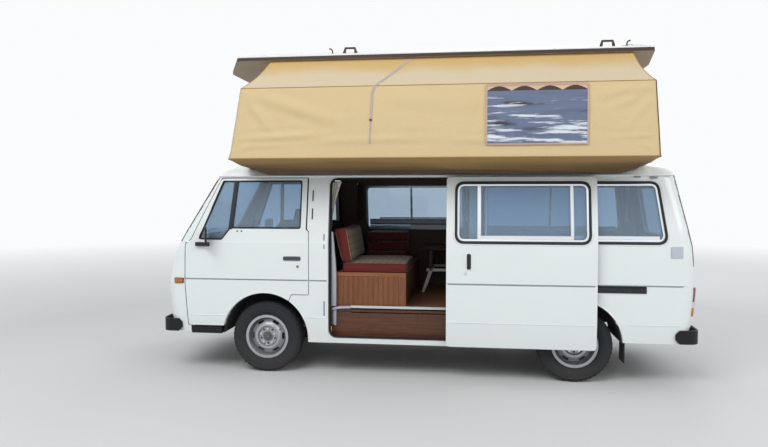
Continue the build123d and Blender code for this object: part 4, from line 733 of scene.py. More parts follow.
def add_strip(bm, start, end, width, place, out=0.0, depth=0.014, material=0, steps=6):
    """Bar that follows a surface between two points of it."""
    start, end = Vector(start), Vector(end)
    way = (end - start).normalized()
    side = Vector((way.y, -way.x)) * width / 2
    loops = []
    for across, outwards in ((-1, out - depth), (-1, out), (1, out), (1, out - depth)):
        line = [start.lerp(end, i / steps) + side * across for i in range(steps + 1)]
        loops.append(add_loop(bm, [place(at.x, at.y, outwards) for at in line], closed=False))
    add_skin(bm, loops, True, material, cap=True)


def add_plate(bm, spans, radius, place, out, depth, material=0, edge=0.002):
    """Rounded plate that stands on a surface, with a small rounded rim; spans are its two ranges."""
    x0, x1, z0, z1 = spans
    corners = [(x0, z0), (x1, z0), (x1, z1), (x0, z1)]
    loops = []
    for inwards, outwards in ((0.0, out - depth), (0.0, out - edge), (edge, out)):
        ring = rounded_outline(inset_corners(corners, inwards), max(0.002, radius - inwards), 5)
        loops.append(add_loop(bm, [place(x, z, outwards) for x, z in ring]))
    add_skin(bm, loops, False, material, cap=True)


def add_turned(bm, points, centre, steps):
    """Ring turned about a wheel's axle from a closed outline of sideways and outward distances."""
    edges = add_loop(bm, [centre + Vector((0, across, reach)) for across, reach in points])
    verts = list({vert: None for edge in edges for vert in edge.verts})
    bmesh.ops.spin(bm, geom=verts + edges, axis=(0, 1, 0), cent=centre, angle=2 * pi, steps=steps,
                   use_merge=True)
    bmesh.ops.recalc_face_normals(bm, faces=bm.faces)


def cloth_grid(columns, rows):
    """Grid for a sheet, and how far along and up it each vertex lies."""
    bm = bmesh.new()
    bmesh.ops.create_grid(bm, x_segments=columns, y_segments=rows, size=0.5, calc_uvs=True)
    bm.loops.layers.uv.verify()
    return bm, {vert: (vert.co.x + 0.5, vert.co.y + 0.5) for vert in bm.verts}


def lay_flat(bm, flat):
    """Writes each vertex's place on the flat cloth, in metres, as UV, and joins ends that meet."""
    uv_layer = bm.loops.layers.uv.verify()
    for face in bm.faces:
        for loop in face.loops:
            loop[uv_layer].uv = flat[loop.vert]
    bmesh.ops.remove_doubles(bm, verts=bm.verts, dist=1e-5)
    bmesh.ops.recalc_face_normals(bm, faces=bm.faces)


# Stage: camera, lights and floor

CAMERA_AT = (0.435, -6.48, 1.608)
CAMERA_YAW = 0.128
CAMERA_PITCH = -0.0463
FOCAL_PX = 660.0
PHOTO_WIDTH = 768
SENSOR = 36.0
BACKDROP = (0.96, 0.97, 0.98, 1)
FADE_START = 5.0
FADE_END = 17.0


def seen_rays(graph):
    """1 for rays that show the backdrop, 0 for those that only carry its light."""
    rays = graph.node("LightPath", {}).outputs
    return graph.math(rays["Is Camera Ray"], "MAXIMUM", rays["Is Transmission Ray"], "MAXIMUM",
                      rays["Is Glossy Ray"])


def make_camera():
    """Camera fitted to the photograph."""
    data = bpy.data.cameras.new("camera")
    data.sensor_width = SENSOR
    data.lens = SENSOR * FOCAL_PX / PHOTO_WIDTH
    data.clip_end = 200.0
    camera = add_object("camera", data)
    camera.location = CAMERA_AT
    camera.rotation_euler = (pi / 2 + CAMERA_PITCH, 0, CAMERA_YAW)
    bpy.context.scene.camera = camera


def make_world():
    """Pale studio: one tone lights the van and another shows behind it."""
    world = bpy.data.worlds.new("studio")
    bpy.context.scene.world = world
    world.use_nodes = True
    graph = Graph(world.node_tree)
    sky = graph.nodes["Background"]
    graph.join((0.93, 0.97, 1.0, 1), sky.inputs["Color"])
    graph.join(0.62, sky.inputs["Strength"])
    shown = graph.node("Background", {"Color": BACKDROP, "Strength": 1.0})
    mix = graph.node("MixShader", {0: seen_rays(graph), 1: sky.outputs[0], 2: shown.outputs[0]})
    graph.join(mix.outputs[0], graph.nodes["World Output"].inputs["Surface"])


def make_light(name, at, aim, size, power):
    """Soft box that looks at a point."""
    data = bpy.data.lights.new(name, "AREA")
    data.shape = "RECTANGLE"
    data.size, data.size_y = size
    data.energy = power
    light = add_object(name, data)
    light.location = at
    light.rotation_euler = (Vector(aim) - Vector(at)).to_track_quat("-Z", "Y").to_euler()


def make_floor():
    """Wide floor that fades into the backdrop."""
    mesh = bpy.data.meshes.new("studio_floor")
    bm = bmesh.new()
    bmesh.ops.create_grid(bm, x_segments=1, y_segments=1, size=60.0)
    bm.to_mesh(mesh)
    bm.free()
    finish = Finish("studio_floor", Base_Color=(0.66, 0.66, 0.66, 1), Roughness=0.9, Specular_IOR_Level=0.1)
    reach = finish.node("VectorMath", {0: finish.place()}, operation="LENGTH").outputs["Value"]
    fade = finish.math(reach, "SUBTRACT", FADE_START, "DIVIDE", FADE_END - FADE_START, clamp=True)
    fade = finish.math(fade, "POWER", 0.8, "MULTIPLY", seen_rays(finish))
    glow = finish.node("Emission", {"Color": BACKDROP})
    blend = finish.node("MixShader", {0: fade, 1: finish.shader.outputs[0], 2: glow.outputs[0]})
    finish.join(blend.outputs[0], finish.nodes["Material Output"].inputs["Surface"])
    mesh.materials.append(finish.material)
    add_object("studio_floor", mesh)


bpy.context.scene.view_settings.view_transform = "Standard"
make_camera()
make_world()
make_floor()
make_light("key", (-3.0, -7.0, 7.5), (0, 0, 1.2), (6.0, 4.0), 420)
make_light("fill", (6.5, -5.0, 5.0), (0, 0, 1.2), (5.0, 4.0), 160)
make_light("back", (2.0, 7.0, 6.0), (0, 0, 1.4), (6.0, 4.0), 220)


# Painted panels

def pick_shell(centre, normal):
    """1 on the faces that look into the cabin, and on the edge faces of gaps and openings away from the bay,
    darkened there as painted shade; 0 on painted ones.
    """
    inward = -normal.y if centre.y > 0 else normal.y
    depth = section_at(BODY_LEVELS, centre.z)[HALF_WIDTH] - abs(centre.y)
    shaded_gap_face = depth > 0.006 and abs(normal.y) < 0.6 and centre.z > 1.0
    bay = centre.y < 0 and -0.95 < centre.x < 0.60
    # Edge faces of gaps and openings higher than 1 m take the dark finish: painted shade in the gaps
    if shaded_gap_face and not bay:
        return 1
    return int(inward > 0.6 and depth > 0.035 and centre.z > 0.5)


def pick_door(centre, normal):
    """Cab doors have dark trim inside below the glass and light paint round it; their edge faces take the
    dark trim as painted shade.
    """
    shell = pick_shell(centre, normal)
    return 2 if shell and centre.z > 1.30 and abs(normal.y) > 0.6 else shell


def pick_nose(centre, normal):
    """Inside of the nose: coated below the screen, painted pillars beside it."""
    if normal.x <= 0.3:
        return 0
    return 2 if centre.z > 1.2 else 1


def pick_tail(centre, normal):
    """1 on the faces at the tail that look forwards."""
    return int(normal.x < -0.6)


for node in ("body_side_left", "body_side_right"):
    copy_node(node, f"{node}_panel", [PAINT, LINING], pick_shell)
for node in ("cab_door_left", "cab_door_right"):
    copy_node(node, f"{node}_panel", [PAINT, TRIM_BROWN, PAINT_INNER], pick_door)
copy_node("sliding_door", "sliding_door_panel", [PAINT, LINING], lambda centre, normal: int(normal.y > 0.6))
copy_node("front_panel", "front_panel_skin", [PAINT, UNDERSEAL, PAINT_INNER], pick_nose)
copy_node("tail_panel", "tail_panel_skin", [PAINT, UNDERSEAL], pick_tail)
copy_node("tailgate", "tailgate_panel", [PAINT, LINING], pick_tail)
copy_node("roof", "roof_panel", [PAINT, HEADLINING], lambda centre, normal: int(normal.z < -0.3))

for material, nodes in (
    (PAINT_INNER, ["roof_frame"]),
    (UNDERSEAL, ["wheel_housings"]),
    (FLOOR_VINYL, ["floor"]),
    (WOOD_RISER, ["step_well"]),
    (PLY, ["bed_boards"]),
    (CLEAR_LENS, ["headlamps"]),
    (RUBBER, ["mudflaps"]),
    (TRIM_BROWN, ["dashboard"]),
    (EXHAUST_STEEL, ["exhaust"]),
    (BUMPER_BLACK, ["front_bumper", "rear_bumper", "cab_steps"]),
    (BLACK_PLASTIC, ["door_rail", "grille", "mirror_left", "mirror_right", "steering_wheel"]),
    (CHASSIS_BLACK, ["chassis", "front_axle", "rear_axle", "fuel_tank"]),
    (CAST, ["engine", "driveline", "knuckle_left", "knuckle_right"]),
    (WHEEL_SILVER, ["rim_front_left", "rim_front_right", "rim_rear_left", "rim_rear_right"]),
    (GLASS, ["windscreen", "fixed_windows", "cab_door_glass_left", "cab_door_glass_right",
             "sliding_door_glass", "tailgate_glass"]),
):
    for node in nodes:
        dress(node, material)

layered_copy("tail_lamps", "tail_lamp_lenses", [AMBER, CLEAR_LENS, RED_LENS], [0.662, 0.712])
layered_copy("kitchen_cabinet", "kitchen_unit", [WOOD_CABINET, LAMINATE], [1.126])
layered_copy("bench_base", "bench_box", [WOOD_BOARDS, WOOD_RAIL], [0.868], edge=0.0012)


# Table on trestles, post of the bay and kitchen doors

with building("trestle_table", [TABLE_TOP, TABLE_TOP, LAMINATE, TRIM_BROWN], slot_of("table"),
              replaces=["table"]) as bm:
    add_bar(bm, (-0.060, 0.160, 1.030), (0.640, 0.700, 1.054), 0.004)
    add_bar(bm, (-0.062, 0.158, 1.034), (0.642, 0.702, 1.050), 0.003, material=1)
    for y in (0.200, 0.630):
        for way, x in ((-1, 0.040), (1, 0.540)):
            feet = [(x + way * 0.078, FLOOR_Z), (x + way * 0.050, FLOOR_Z)]
            leg = [(x, 0.838), *feet, (x - way * 0.036, 0.838)]
            add_prism(bm, leg, y, y + 0.026, material=2)
        add_bar(bm, (0.010, y, 0.812), (0.570, y + 0.026, 0.840), 0.003, material=2)
        for x in (0.040, 0.512):
            add_bar(bm, (x, y, 0.838), (x + 0.028, y + 0.026, 1.031), 0.003, material=3)

POST = [(-0.778, 0.606), (-0.729, 0.606), (-0.728, 0.900), (-0.733, 0.996), (-0.756, 1.262), (-0.778, 1.270)]
POST_FOOT = [(-0.760, 0.440), (-0.730, 0.430), (-0.728, 0.580), (-0.760, 0.580)]
with building("bay_post", [POST_GREY], "body_paint") as bm:
    add_prism(bm, POST, -0.772, -0.738, bevel=0.003)
    add_prism(bm, POST_FOOT, -0.762, -0.742, bevel=0.006)

with building("kitchen_doors", [WOOD_CABINET, BRIGHT], "wood") as bm:
    for x in (0.86, 1.26, 1.66):
        add_bar(bm, (x, 0.322, 0.66), (x + 0.36, 0.331, 1.09), 0.004)
        add_rod(bm, (x + 0.32, 0.324, 1.03), (x + 0.32, 0.300, 1.03), 0.012, 18, 0.015, material=1)


# Padded pieces, each swelled by a short cloth simulation

CUSHION_CELL = 0.021
CUSHION_INSET = 0.009
PIPE = 0.0045
SWELL_FRAMES = 20
PLAIDED, PLAIN = 0, 1


def cushion_cells(quad, y0, y1):
    """Closed box of small cells between four corners in side view, with its keys and cell counts."""
    (ax, az), (bx, bz), (cx, cz), (dx, dz) = quad
    a, b, d = Vector((ax, az)), Vector((bx, bz)), Vector((dx, dz))
    counts = [max(4, round(size / CUSHION_CELL)) for size in ((d - a).length, y1 - y0, (b - a).length)]
    bm = bmesh.new()
    bmesh.ops.create_cube(bm, size=1.0)
    bmesh.ops.translate(bm, vec=(0.5, 0.5, 0.5), verts=bm.verts)
    for axis, count in enumerate(counts):
        normal = Vector((axis == 0, axis == 1, axis == 2))
        for i in range(1, count):
            slice_mesh(bm, normal * i / count, normal)
    bm.normal_update()
    uv_layer = bm.loops.layers.uv.verify()
    flat = {face: face.normal.copy() for face in bm.faces}
    bm.verts.index_update()
    keys = {tuple(round(c * n) for c, n in zip(vert.co, counts)): vert.index for vert in bm.verts}
    sizes = (abs(dx - ax) + abs(dz - az), y1 - y0, abs(bx - ax) + abs(bz - az))
    insets = [CUSHION_INSET / size for size in sizes]
    for vert in bm.verts:
        u, w, v = (inset + (1 - 2 * inset) * c for c, inset in zip(vert.co, insets))
        low = Vector((ax + (dx - ax) * u, az + (dz - az) * u))
        high = Vector((bx + (cx - bx) * u, bz + (cz - bz) * u))
        at = low + (high - low) * v
        vert.co = (at.x, y0 + (y1 - y0) * w, at.y)
    for face, normal in flat.items():
        first, second = (1, 0) if abs(normal.z) > 0.5 else (0, 2) if abs(normal.y) > 0.5 else (1, 2)
        for loop in face.loops:
            loop[uv_layer].uv = (loop.vert.co[first], loop.vert.co[second])
    return bm, flat, keys, counts


def rim_keys(counts, top):
    """Cell corners in order round the top or the foot of a cushion."""
    nu, nw, nv = counts
    ring = [(i, 0) for i in range(nu)] + [(nu, j) for j in range(nw)]
    ring += [(nu - i, nw) for i in range(nu)] + [(0, nw - j) for j in range(nw)]
    return [(i, j, nv if top else 0) for i, j in ring]


def side_of(normal):
    """Which side of its cushion a face is on."""
    if abs(normal.z) > 0.5:
        return "top" if normal.z > 0 else "foot"
    if abs(normal.y) > 0.5:
        return "end"
    return "fore" if normal.x > 0.5 else "back"


class Cushion:
    """Cushion waiting for its simulation."""

    def __init__(self, name, quad, y0, y1, plaid_sides, cap, fill, node, rest):
        self.cap, self.rest, self.fill, self.node = cap, rest, fill, node
        bm, flat, self.keys, self.counts = cushion_cells(quad, y0, y1)
        for face, normal in flat.items():
            face.material_index = PLAIDED if side_of(normal) in plaid_sides else PLAIN
        self.cloths = [SEAT_CLOTH, TRIM_BROWN] if node == "cab_seats" else [PLAID, RED_CLOTH]
        self.piece = new_piece(name, bm, self.cloths, slot_of(node), replaces=[node], sharp=180.0)
        self.before = [vert.co.copy() for vert in self.piece.data.vertices]

    def start(self):
        """Adds the pressure that swells the cushion."""
        swell = self.piece.modifiers.new("swell", "CLOTH")
        swell.settings.use_pressure = True
        swell.settings.uniform_pressure_force = 4.0
        swell.settings.effector_weights.gravity = 0.0
        swell.settings.mass = 0.25
        swell.point_cache.frame_start = 1
        swell.point_cache.frame_end = SWELL_FRAMES
        swell.collision_settings.use_collision = False

    def settle(self, simulated):
        """Takes the swelled shape, keeps it flat where it rests, and sews on the piping."""
        mesh = self.piece.data
        if simulated:
            solved = self.piece.evaluated_get(bpy.context.evaluated_depsgraph_get())
            after = [vert.co.copy() for vert in solved.data.vertices]
            self.piece.modifiers.remove(self.piece.modifiers["swell"])
        else:
            normals = [normal.vector for normal in mesh.vertex_normals]
            after = [co + normal * self.cap * 0.5 for co, normal in zip(self.before, normals)]
        for vert, old, new in zip(mesh.vertices, self.before, after):
            move = new - old
            if move.length > self.cap:
                move *= self.cap / move.length
            vert.co = old + move
            if self.rest is not None:
                vert.co.z = max(vert.co.z, self.rest)
        mesh.update()
        smooth = self.piece.modifiers.new("smooth", "SUBSURF")
        smooth.levels = 1
        smooth.render_levels = 1
        with building(self.piece.name + "_piping", self.cloths[PLAIN:], slot_of(self.node), sharp=60.0) as bm:
            for top in (False, True):
                path = [mesh.vertices[self.keys[key]].co for key in rim_keys(self.counts, top)]
                centre = sum(path, Vector()) / len(path)
                add_bead(bm, [p + (centre - p).normalized() * 0.002 for p in path], PIPE)


def level_quad(x0, x1, z0, z1):
    """Side view of a cushion that lies level."""
    return [(x0, z0), (x0, z1), (x1, z1), (x1, z0)]


BENCH_BACK = [(-0.692, 0.990), (-0.770, 1.292), (-0.645, 1.298), (-0.594, 0.990)]
CAB_SEAT = [(-1.665, 0.892), (-1.655, 1.008), (-1.232, 0.978), (-1.240, 0.892)]
CAB_BACK = [(-1.235, 0.930), (-1.122, 1.480), (-1.048, 1.470), (-1.115, 0.920)]
FLAT_SIDES, UPRIGHT_SIDES = ("top", "foot"), ("fore", "back")
# Columns: name, side view, y from, y to, patterned sides, most swell, fill, node, height it rests on
CUSHIONS = [
    ("bench_seat", level_quad(-0.692, -0.097, 0.902, 0.987), -0.722, 0.080, FLAT_SIDES, 0.014, 0.6,
     "bench_cushion", 0.903),
    ("bench_backrest", BENCH_BACK, -0.700, 0.080, UPRIGHT_SIDES, 0.014, 0.6, "bench_back", 0.990),
]
for row in range(3):
    z = 0.902 + row * 0.101
    CUSHIONS.append((f"spare_cushion_{row}", level_quad(-0.640, -0.190, z, z + 0.095), 0.330, 0.720,
                     FLAT_SIDES, 0.012, 0.5, "spare_cushions", z + 0.001))
for side, word in SIDES:
    y0, y1 = side * 0.44 - 0.24, side * 0.44 + 0.24
    CUSHIONS += [
        (f"cab_seat_{word}", CAB_SEAT, y0, y1, FLAT_SIDES, 0.014, 0.6, "cab_seats", 0.892),
        (f"cab_seat_back_{word}", CAB_BACK, y0, y1, UPRIGHT_SIDES, 0.014, 0.6, "cab_seats", None),
    ]
cushions = [Cushion(*columns) for columns in CUSHIONS]

for cushion in cushions:
    cushion.start()
for moment in range(1, SWELL_FRAMES + 1):
    bpy.context.scene.frame_set(moment)
for cushion in cushions:
    cushion.settle(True)
bpy.context.scene.frame_set(1)

with building("cab_seat_boxes", [TRIM_BROWN], slot_of("cab_seats"), replaces=["cab_seats"]) as bm:
    for side in (LEFT, RIGHT):
        for inner, outer, foot in ((0.252, 0.400, FLOOR_Z), (0.395, 0.628, 0.742)):
            low, high = sorted((side * inner, side * outer))
            add_bar(bm, (-1.615, low, foot), (-1.165, high, 0.893), 0.012)


# Curtains, gathered on short rails

CURTAIN_Z = (1.305, 1.700)
CURTAIN_Y = 0.669
# Columns: front edge, rear edge, side, pleats, width left at the foot
CURTAINS = [
    (-0.806, -0.700, LEFT, 4, 0.22),
    (-0.768, -0.715, RIGHT, 3, 1.0),
    (0.400, 0.470, RIGHT, 4, 1.0),
    (0.470, 0.540, LEFT, 4, 1.0),
    (2.050, 2.090, RIGHT, 3, 1.0),
]


def make_curtain(name, x0, x1, side, pleats, foot):
    """Pleated curtain; its flat width is at least 2.4 times the rail's, within what its own area allows."""
    tall = CURTAIN_Z[1] - CURTAIN_Z[0]
    bm, unit = cloth_grid(pleats * 12, 20)
    for vert, (u, v) in unit.items():
        drawn = foot + (1 - foot) * v ** 1.6
        wave = sin(2 * pi * pleats * u + 0.8 * sin(5 * v)) * 0.0115 * (0.6 + 0.4 * v)
        vert.co = (x0 + (x1 - x0) * u * drawn, side * (CURTAIN_Y + wave), CURTAIN_Z[0] + tall * v)
    area = sum(face.calc_area() for face in bm.faces)
    wide = min(max((x1 - x0) * 2.4, area / tall / 0.95), area / tall / 0.75)
    lay_flat(bm, {vert: (u * wide, v * tall) for vert, (u, v) in unit.items()})
    # The far curtain by the bay is dark: painted shade
    fabric = CURTAIN_PAINTED_SHADE if x1 < 0 and side == RIGHT else CURTAIN
    piece = new_piece(name, bm, [fabric], slot_of("curtains"), replaces=["curtains"], sharp=180.0)


with building("curtain_rails", [BRIGHT], "steel") as bm:
    for x0, x1, side, *_ in CURTAINS:
        y = side * CURTAIN_Y
        add_rod(bm, (x0 - 0.008, y, 1.702), (x1 + 0.008, y, 1.702), 0.004, 10)
        add_bar(bm, (x0 - 0.010, y - 0.006, 1.696), (x0 - 0.004, y + 0.006, 1.722), 0.0)
for i, columns in enumerate(CURTAINS):
    make_curtain(f"curtain_{i}", *columns)


# Canvas of the roof tent

CREASE_Z = 1.885
HEM_Z = 1.958
RIDGE_Z = 2.466
LID_Z = 2.752
SKIRT_FOOT_Z = 1.772
# Columns: height, front x, rear x, half width, corner radius
TENT_LEVELS = [
    (CREASE_Z, -1.552, 1.893, 1.222, 0.05),
    (HEM_Z, -1.530, 1.888, 1.218, 0.045),
    (RIDGE_Z, -1.442, 1.850, 1.200, 0.03),
    (LID_Z, -1.290, 1.760, 0.850, 0.03),
]
SKIRT_LEVELS = [
    (CREASE_Z, -1.552, 1.893, 1.222, 0.05),
    (SKIRT_FOOT_Z, -1.360, 1.700, 0.748, 0.05),
]
# Stretches round the tent, with their steps in the cloth and along a bead
STRETCHES = [("left", 120, 90), ("rear_left", 4, 4), ("rear", 60, 50), ("rear_right", 4, 4),
             ("right", 120, 90), ("front_right", 4, 4), ("front", 60, 50), ("front_left", 4, 4)]
LONG_SIDES, SHORT_SIDES = ("left", "right"), ("front", "rear")

# Folds in the left wall: from x, z to x, z, half width, depth
WALL_FOLDS = [
    (-1.44, 2.46, -0.55, 2.16, 0.050, 0.012),
    (-1.42, 2.44, -1.10, 2.02, 0.040, 0.010),
    (-1.48, 2.28, -1.33, 2.17, 0.016, 0.006),
    (-1.44, 2.05, -0.55, 2.09, 0.030, 0.010),
    (-1.47, 1.99, -0.98, 2.00, 0.022, 0.008),
    (-0.90, 2.02, 0.30, 2.05, 0.030, 0.007),
    (1.85, 2.45, 1.36, 2.34, 0.035, 0.012),
    (1.85, 2.44, 1.45, 2.22, 0.035, 0.009),
    (1.84, 2.38, 1.60, 2.06, 0.028, 0.008),
    (1.87, 2.05, 1.45, 2.03, 0.020, 0.006),
    (1.86, 1.93, 1.70, 2.00, 0.018, 0.010),
    (-1.50, 1.93, -1.36, 1.99, 0.018, 0.009),
    (0.30, 2.03, 1.30, 2.00, 0.028, 0.006),
    (-0.30, 2.40, 0.40, 2.30, 0.060, 0.006),
]


def hold(value):
    """Value held within 0 and 1."""
    return min(1.0, max(0.0, value))


def ruffle(x, y, z):
    """Smooth noise about zero."""
    return noise.noise(Vector((x, y, z)))


def outline_point(name, t, x0, x1, half, r):
    """Point and outward direction on the tent's rounded outline."""
    if name in LONG_SIDES:
        side = LEFT if name == "left" else RIGHT
        share = t if side == LEFT else 1 - t
        return Vector((x0 + r + (x1 - x0 - 2 * r) * share, side * half)), Vector((0, side))
    if name in SHORT_SIDES:
        way = 1 if name == "rear" else -1
        return Vector((x1 if way > 0 else x0, way * (half - r) * (2 * t - 1))), Vector((way, 0))
    start = {"rear_left": -pi / 2, "rear_right": 0.0, "front_right": pi / 2, "front_left": pi}[name]
    angle = start + t * pi / 2
    way = Vector((cos(angle), sin(angle)))
    centre = Vector((x1 - r if "rear" in name else x0 + r, half - r if "right" in name else r - half))
    return centre + way * r, way


def fold_depth(x, z):
    """How far the folds push a point of the wall in or out."""
    total = 0.0
    for x0, z0, x1, z1, width, depth in WALL_FOLDS:
        along = Vector((x1 - x0, z1 - z0))
        t = hold(Vector((x - x0, z - z0)).dot(along) / along.length_squared)
        off = (Vector((x, z)) - Vector((x0, z0)) - along * t).length / width
        fade = min(1.0, (1 - t) * 2.2) * min(1.0, 0.35 + t * 3)
        total += depth * fade * (exp(-off * off) - 0.55 * exp(-((off - 1.5) ** 2) * 2.0))
    return total


def wall_bulge(name, t, z, point):
    """Outward shape of the canvas: billow, folds and fine creases."""
    span = sin(pi * hold((z - CREASE_Z) / (RIDGE_Z - CREASE_Z))) if z < RIDGE_Z else 0.0
    slope = max(0.0, (z - RIDGE_Z) / (LID_Z - RIDGE_Z))
    ends = sin(pi * t)
    fine = ruffle(point.x * 2.1, point.y * 2.1, z * 7.0) * 0.0045
    fine += ruffle(point.x * 4.0, point.y * 4.0 + 9, z * 19.0) * 0.0018
    fine *= 0.35 + 0.65 * span
    if name in SHORT_SIDES:
        swell = 0.036 * ends ** 0.5 * (0.55 + 0.45 * span) * (1 - slope)
        ruck = ruffle(point.y * 2.4, z * 5.0, 4.0) * 0.012 * ends
        return swell + ruck + fine - 0.05 * sin(pi * slope) * ends
    if name in LONG_SIDES:
        along = point.x if name == "left" else 0.35 - point.x
        folds = fold_depth(along, z) if z <= RIDGE_Z + 0.01 else 0.0
        sag = -0.028 * sin(pi * slope) * (0.6 + 0.4 * ends)
        return 0.010 * ends ** 0.6 * span + folds * (0.3 + 0.7 * span) + fine + sag
    return fine * 0.3


def wall_shape(kind, t, at, way, z):
    """Point on the canvas wall, drawn in at both ends above the ridge."""
    slope = max(0.0, (z - RIDGE_Z) / (LID_Z - RIDGE_Z))
    drawn_in = 0.030 * sin(pi * slope ** 0.8)
    for word, sign, begins in (("front", -1, 1.0), ("rear", 1, 1.4)):
        if word in kind:
            at = at - Vector((sign * drawn_in, 0))
        elif kind in LONG_SIDES:
            at = at - Vector((sign * drawn_in * hold((sign * at.x - begins) / 0.3), 0))
    at = at + way * wall_bulge(kind, t, z, at)
    return Vector((at.x, at.y, z))


def skirt_shape(kind, t, at, way, z):
    """Point on the slack underside of the tent."""
    share = (CREASE_Z - z) / (CREASE_Z - SKIRT_FOOT_Z)
    edge = sin(pi * share)
    ends = sin(pi * t) if kind in LONG_SIDES + SHORT_SIDES else 0.0
    along = at.x if kind in LONG_SIDES else at.y
    folds = ruffle(along * 0.9, share * 5.5, 3.0 if kind == "left" else 8.0) * 0.050
    folds += ruffle(along * 2.2, share * 13.0, 5.0) * 0.016
    drop = (0.030 * ends ** 0.5 + folds * (0.3 + 0.7 * ends)) * edge
    return Vector((at.x + way.x * 0.02 * edge, at.y + way.y * 0.02 * edge, z - drop))


def make_loop_cloth(name, levels, counts, shape, material, node):
    """Cloth that goes right round the tent, from a grid whose two ends meet."""
    rows, up = [], 0.0
    for low, high, count in zip(levels, levels[1:], counts):
        rise = sqrt((high[0] - low[0]) ** 2 + (high[3] - low[3]) ** 2)
        for i in range(count + (high is levels[-1])):
            rows.append((between(low, high, i / count), up + rise * i / count))
        up += rise
    columns = [(kind, i / steps) for kind, steps, _ in STRETCHES for i in range(steps)] + [("left", 0.0)]
    girth = 2 * (levels[0][2] - levels[0][1]) + 4 * levels[0][3]
    bm, unit = cloth_grid(len(columns) - 1, len(rows) - 1)
    flat = {}
    for vert, (u, v) in unit.items():
        i = round(u * (len(columns) - 1))
        (z, *section), height = rows[round(v * (len(rows) - 1))]
        kind, t = columns[i]
        at, way = outline_point(kind, t, *section)
        flat[vert] = (girth * i / (len(columns) - 1), height)
        vert.co = shape(kind, t, at, way, z)
    lay_flat(bm, flat)
    area = sum(face.calc_area() for face in bm.faces)
    piece = new_piece(name, bm, [material], slot_of(node), replaces=[node], sharp=180.0)
    return piece


def follow_lid(piece):
    """Gives a piece of the tent its own copy of its mesh."""
    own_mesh(piece)


walls = make_loop_cloth("tent_canvas", TENT_LEVELS, (4, 30, 14), wall_shape, CANVAS, "tent_walls")
make_loop_cloth("tent_underside", SKIRT_LEVELS, (14,), skirt_shape, CANVAS_PAINTED_SHADE, "tent_skirt")
follow_lid(walls)


def wall_point(kind, t, z, out=0.0):
    """Point on the canvas wall, moved outwards."""
    at, way = outline_point(kind, t, *section_at(TENT_LEVELS, z)[1:])
    return wall_shape(kind, t, at, way, z) + way.to_3d() * out


def wall_place(x, z, out):
    """Point on the left wall by its place along the van."""
    _, x0, x1, _, r = section_at(TENT_LEVELS, z)
    return wall_point("left", (x - x0 - r) / (x1 - x0 - 2 * r), z, out)


def wall_ribbon(bm, points, width, out, depth, material=0, steps=22):
    """Flat band sewn on the left wall through points in side view."""
    for start, end in zip(points, points[1:]):
        add_strip(bm, start, end, width, wall_place, out, depth, material, steps)


def loop_line(z, out):
    """Closed line round the canvas at one height."""
    return [wall_point(kind, i / steps, z, out) for kind, _, steps in STRETCHES for i in range(steps)]


# Clear window in the left wall: front, rear, foot and head
WINDOW_X = (0.567, 1.340)
WINDOW_Z = (1.988, 2.452)
WINDOW_WIDE = WINDOW_X[1] - WINDOW_X[0]
WINDOW_TALL = WINDOW_Z[1] - WINDOW_Z[0]
CLEAR_SHEET = clear_sheet("clear_sheet", WINDOW_WIDE, WINDOW_TALL)


def make_tent_window():
    """Rippled clear sheet and the hem that sews it to the wall."""
    bm, unit = cloth_grid(60, 44)
    for vert, (u, v) in unit.items():
        edge = min(1.0, 8 * min(u, 1 - u, v, 1 - v))
        ripple = ruffle(u * 2.0, v * 14.0, 2.0) * 0.006 * edge
        vert.co = wall_place(WINDOW_X[0] + u * WINDOW_WIDE, WINDOW_Z[0] + v * WINDOW_TALL, 0.007 + ripple)
    lay_flat(bm, {vert: (u * WINDOW_WIDE, v * WINDOW_TALL) for vert, (u, v) in unit.items()})
    window = new_piece("tent_window", bm, [CLEAR_SHEET], "canvas", sharp=180.0)
    x0, x1, z0, z1 = *WINDOW_X, *WINDOW_Z
    corners = [(x0, z0), (x1, z0), (x1, z1), (x0, z1), (x0, z0)]
    bm = bmesh.new()
    wall_ribbon(bm, corners, 0.013, 0.0105, 0.007)
    return window, new_piece("tent_window_hem", bm, [PVC_FRAME], "canvas", sharp=50.0)


def make_tent_trim():
    """Seams and piping of the tent, and the strap that hangs from the lid."""
    bm = bmesh.new()
    add_bead(bm, loop_line(RIDGE_Z, 0.0005), 0.0028)
    add_bead(bm, loop_line(CREASE_Z + 0.004, 0.001), 0.0055)
    for kind, material in (("front_left", 2), ("front_right", 2), ("rear_left", 1), ("rear_right", 1)):
        # Columns: from height, to height, steps, out, radius, material
        for low, high, steps, out, radius, number in ((CREASE_Z, RIDGE_Z, 24, 0.002, 0.0042, material),
                                                      (RIDGE_Z, LID_Z - 0.012, 14, 0.001, 0.0034, 0)):
            path = [wall_point(kind, 0.5, low + (high - low) * i / steps, out) for i in range(steps + 1)]
            add_bead(bm, path, radius, closed=False, material=number)
    strap = [(-0.062, 2.738), (-0.317, 2.468), (-0.341, 2.400), (-0.349, 2.190)]
    wall_ribbon(bm, strap, 0.020, 0.004, 0.003, 3)
    wall_ribbon(bm, [(-0.349, 2.190), (-0.358, 2.000)], 0.013, 0.003, 0.002, 3)
    wall_ribbon(bm, [(-0.349, 2.200), (-0.3495, 2.184)], 0.022, 0.006, 0.004, 1, steps=3)
    return new_piece("tent_trim", bm, [SEAM, PIPING, PIPING_GREY, WEBBING], "canvas", sharp=60.0)


for piece in (*make_tent_window(), make_tent_trim()):
    follow_lid(piece)


# Lid

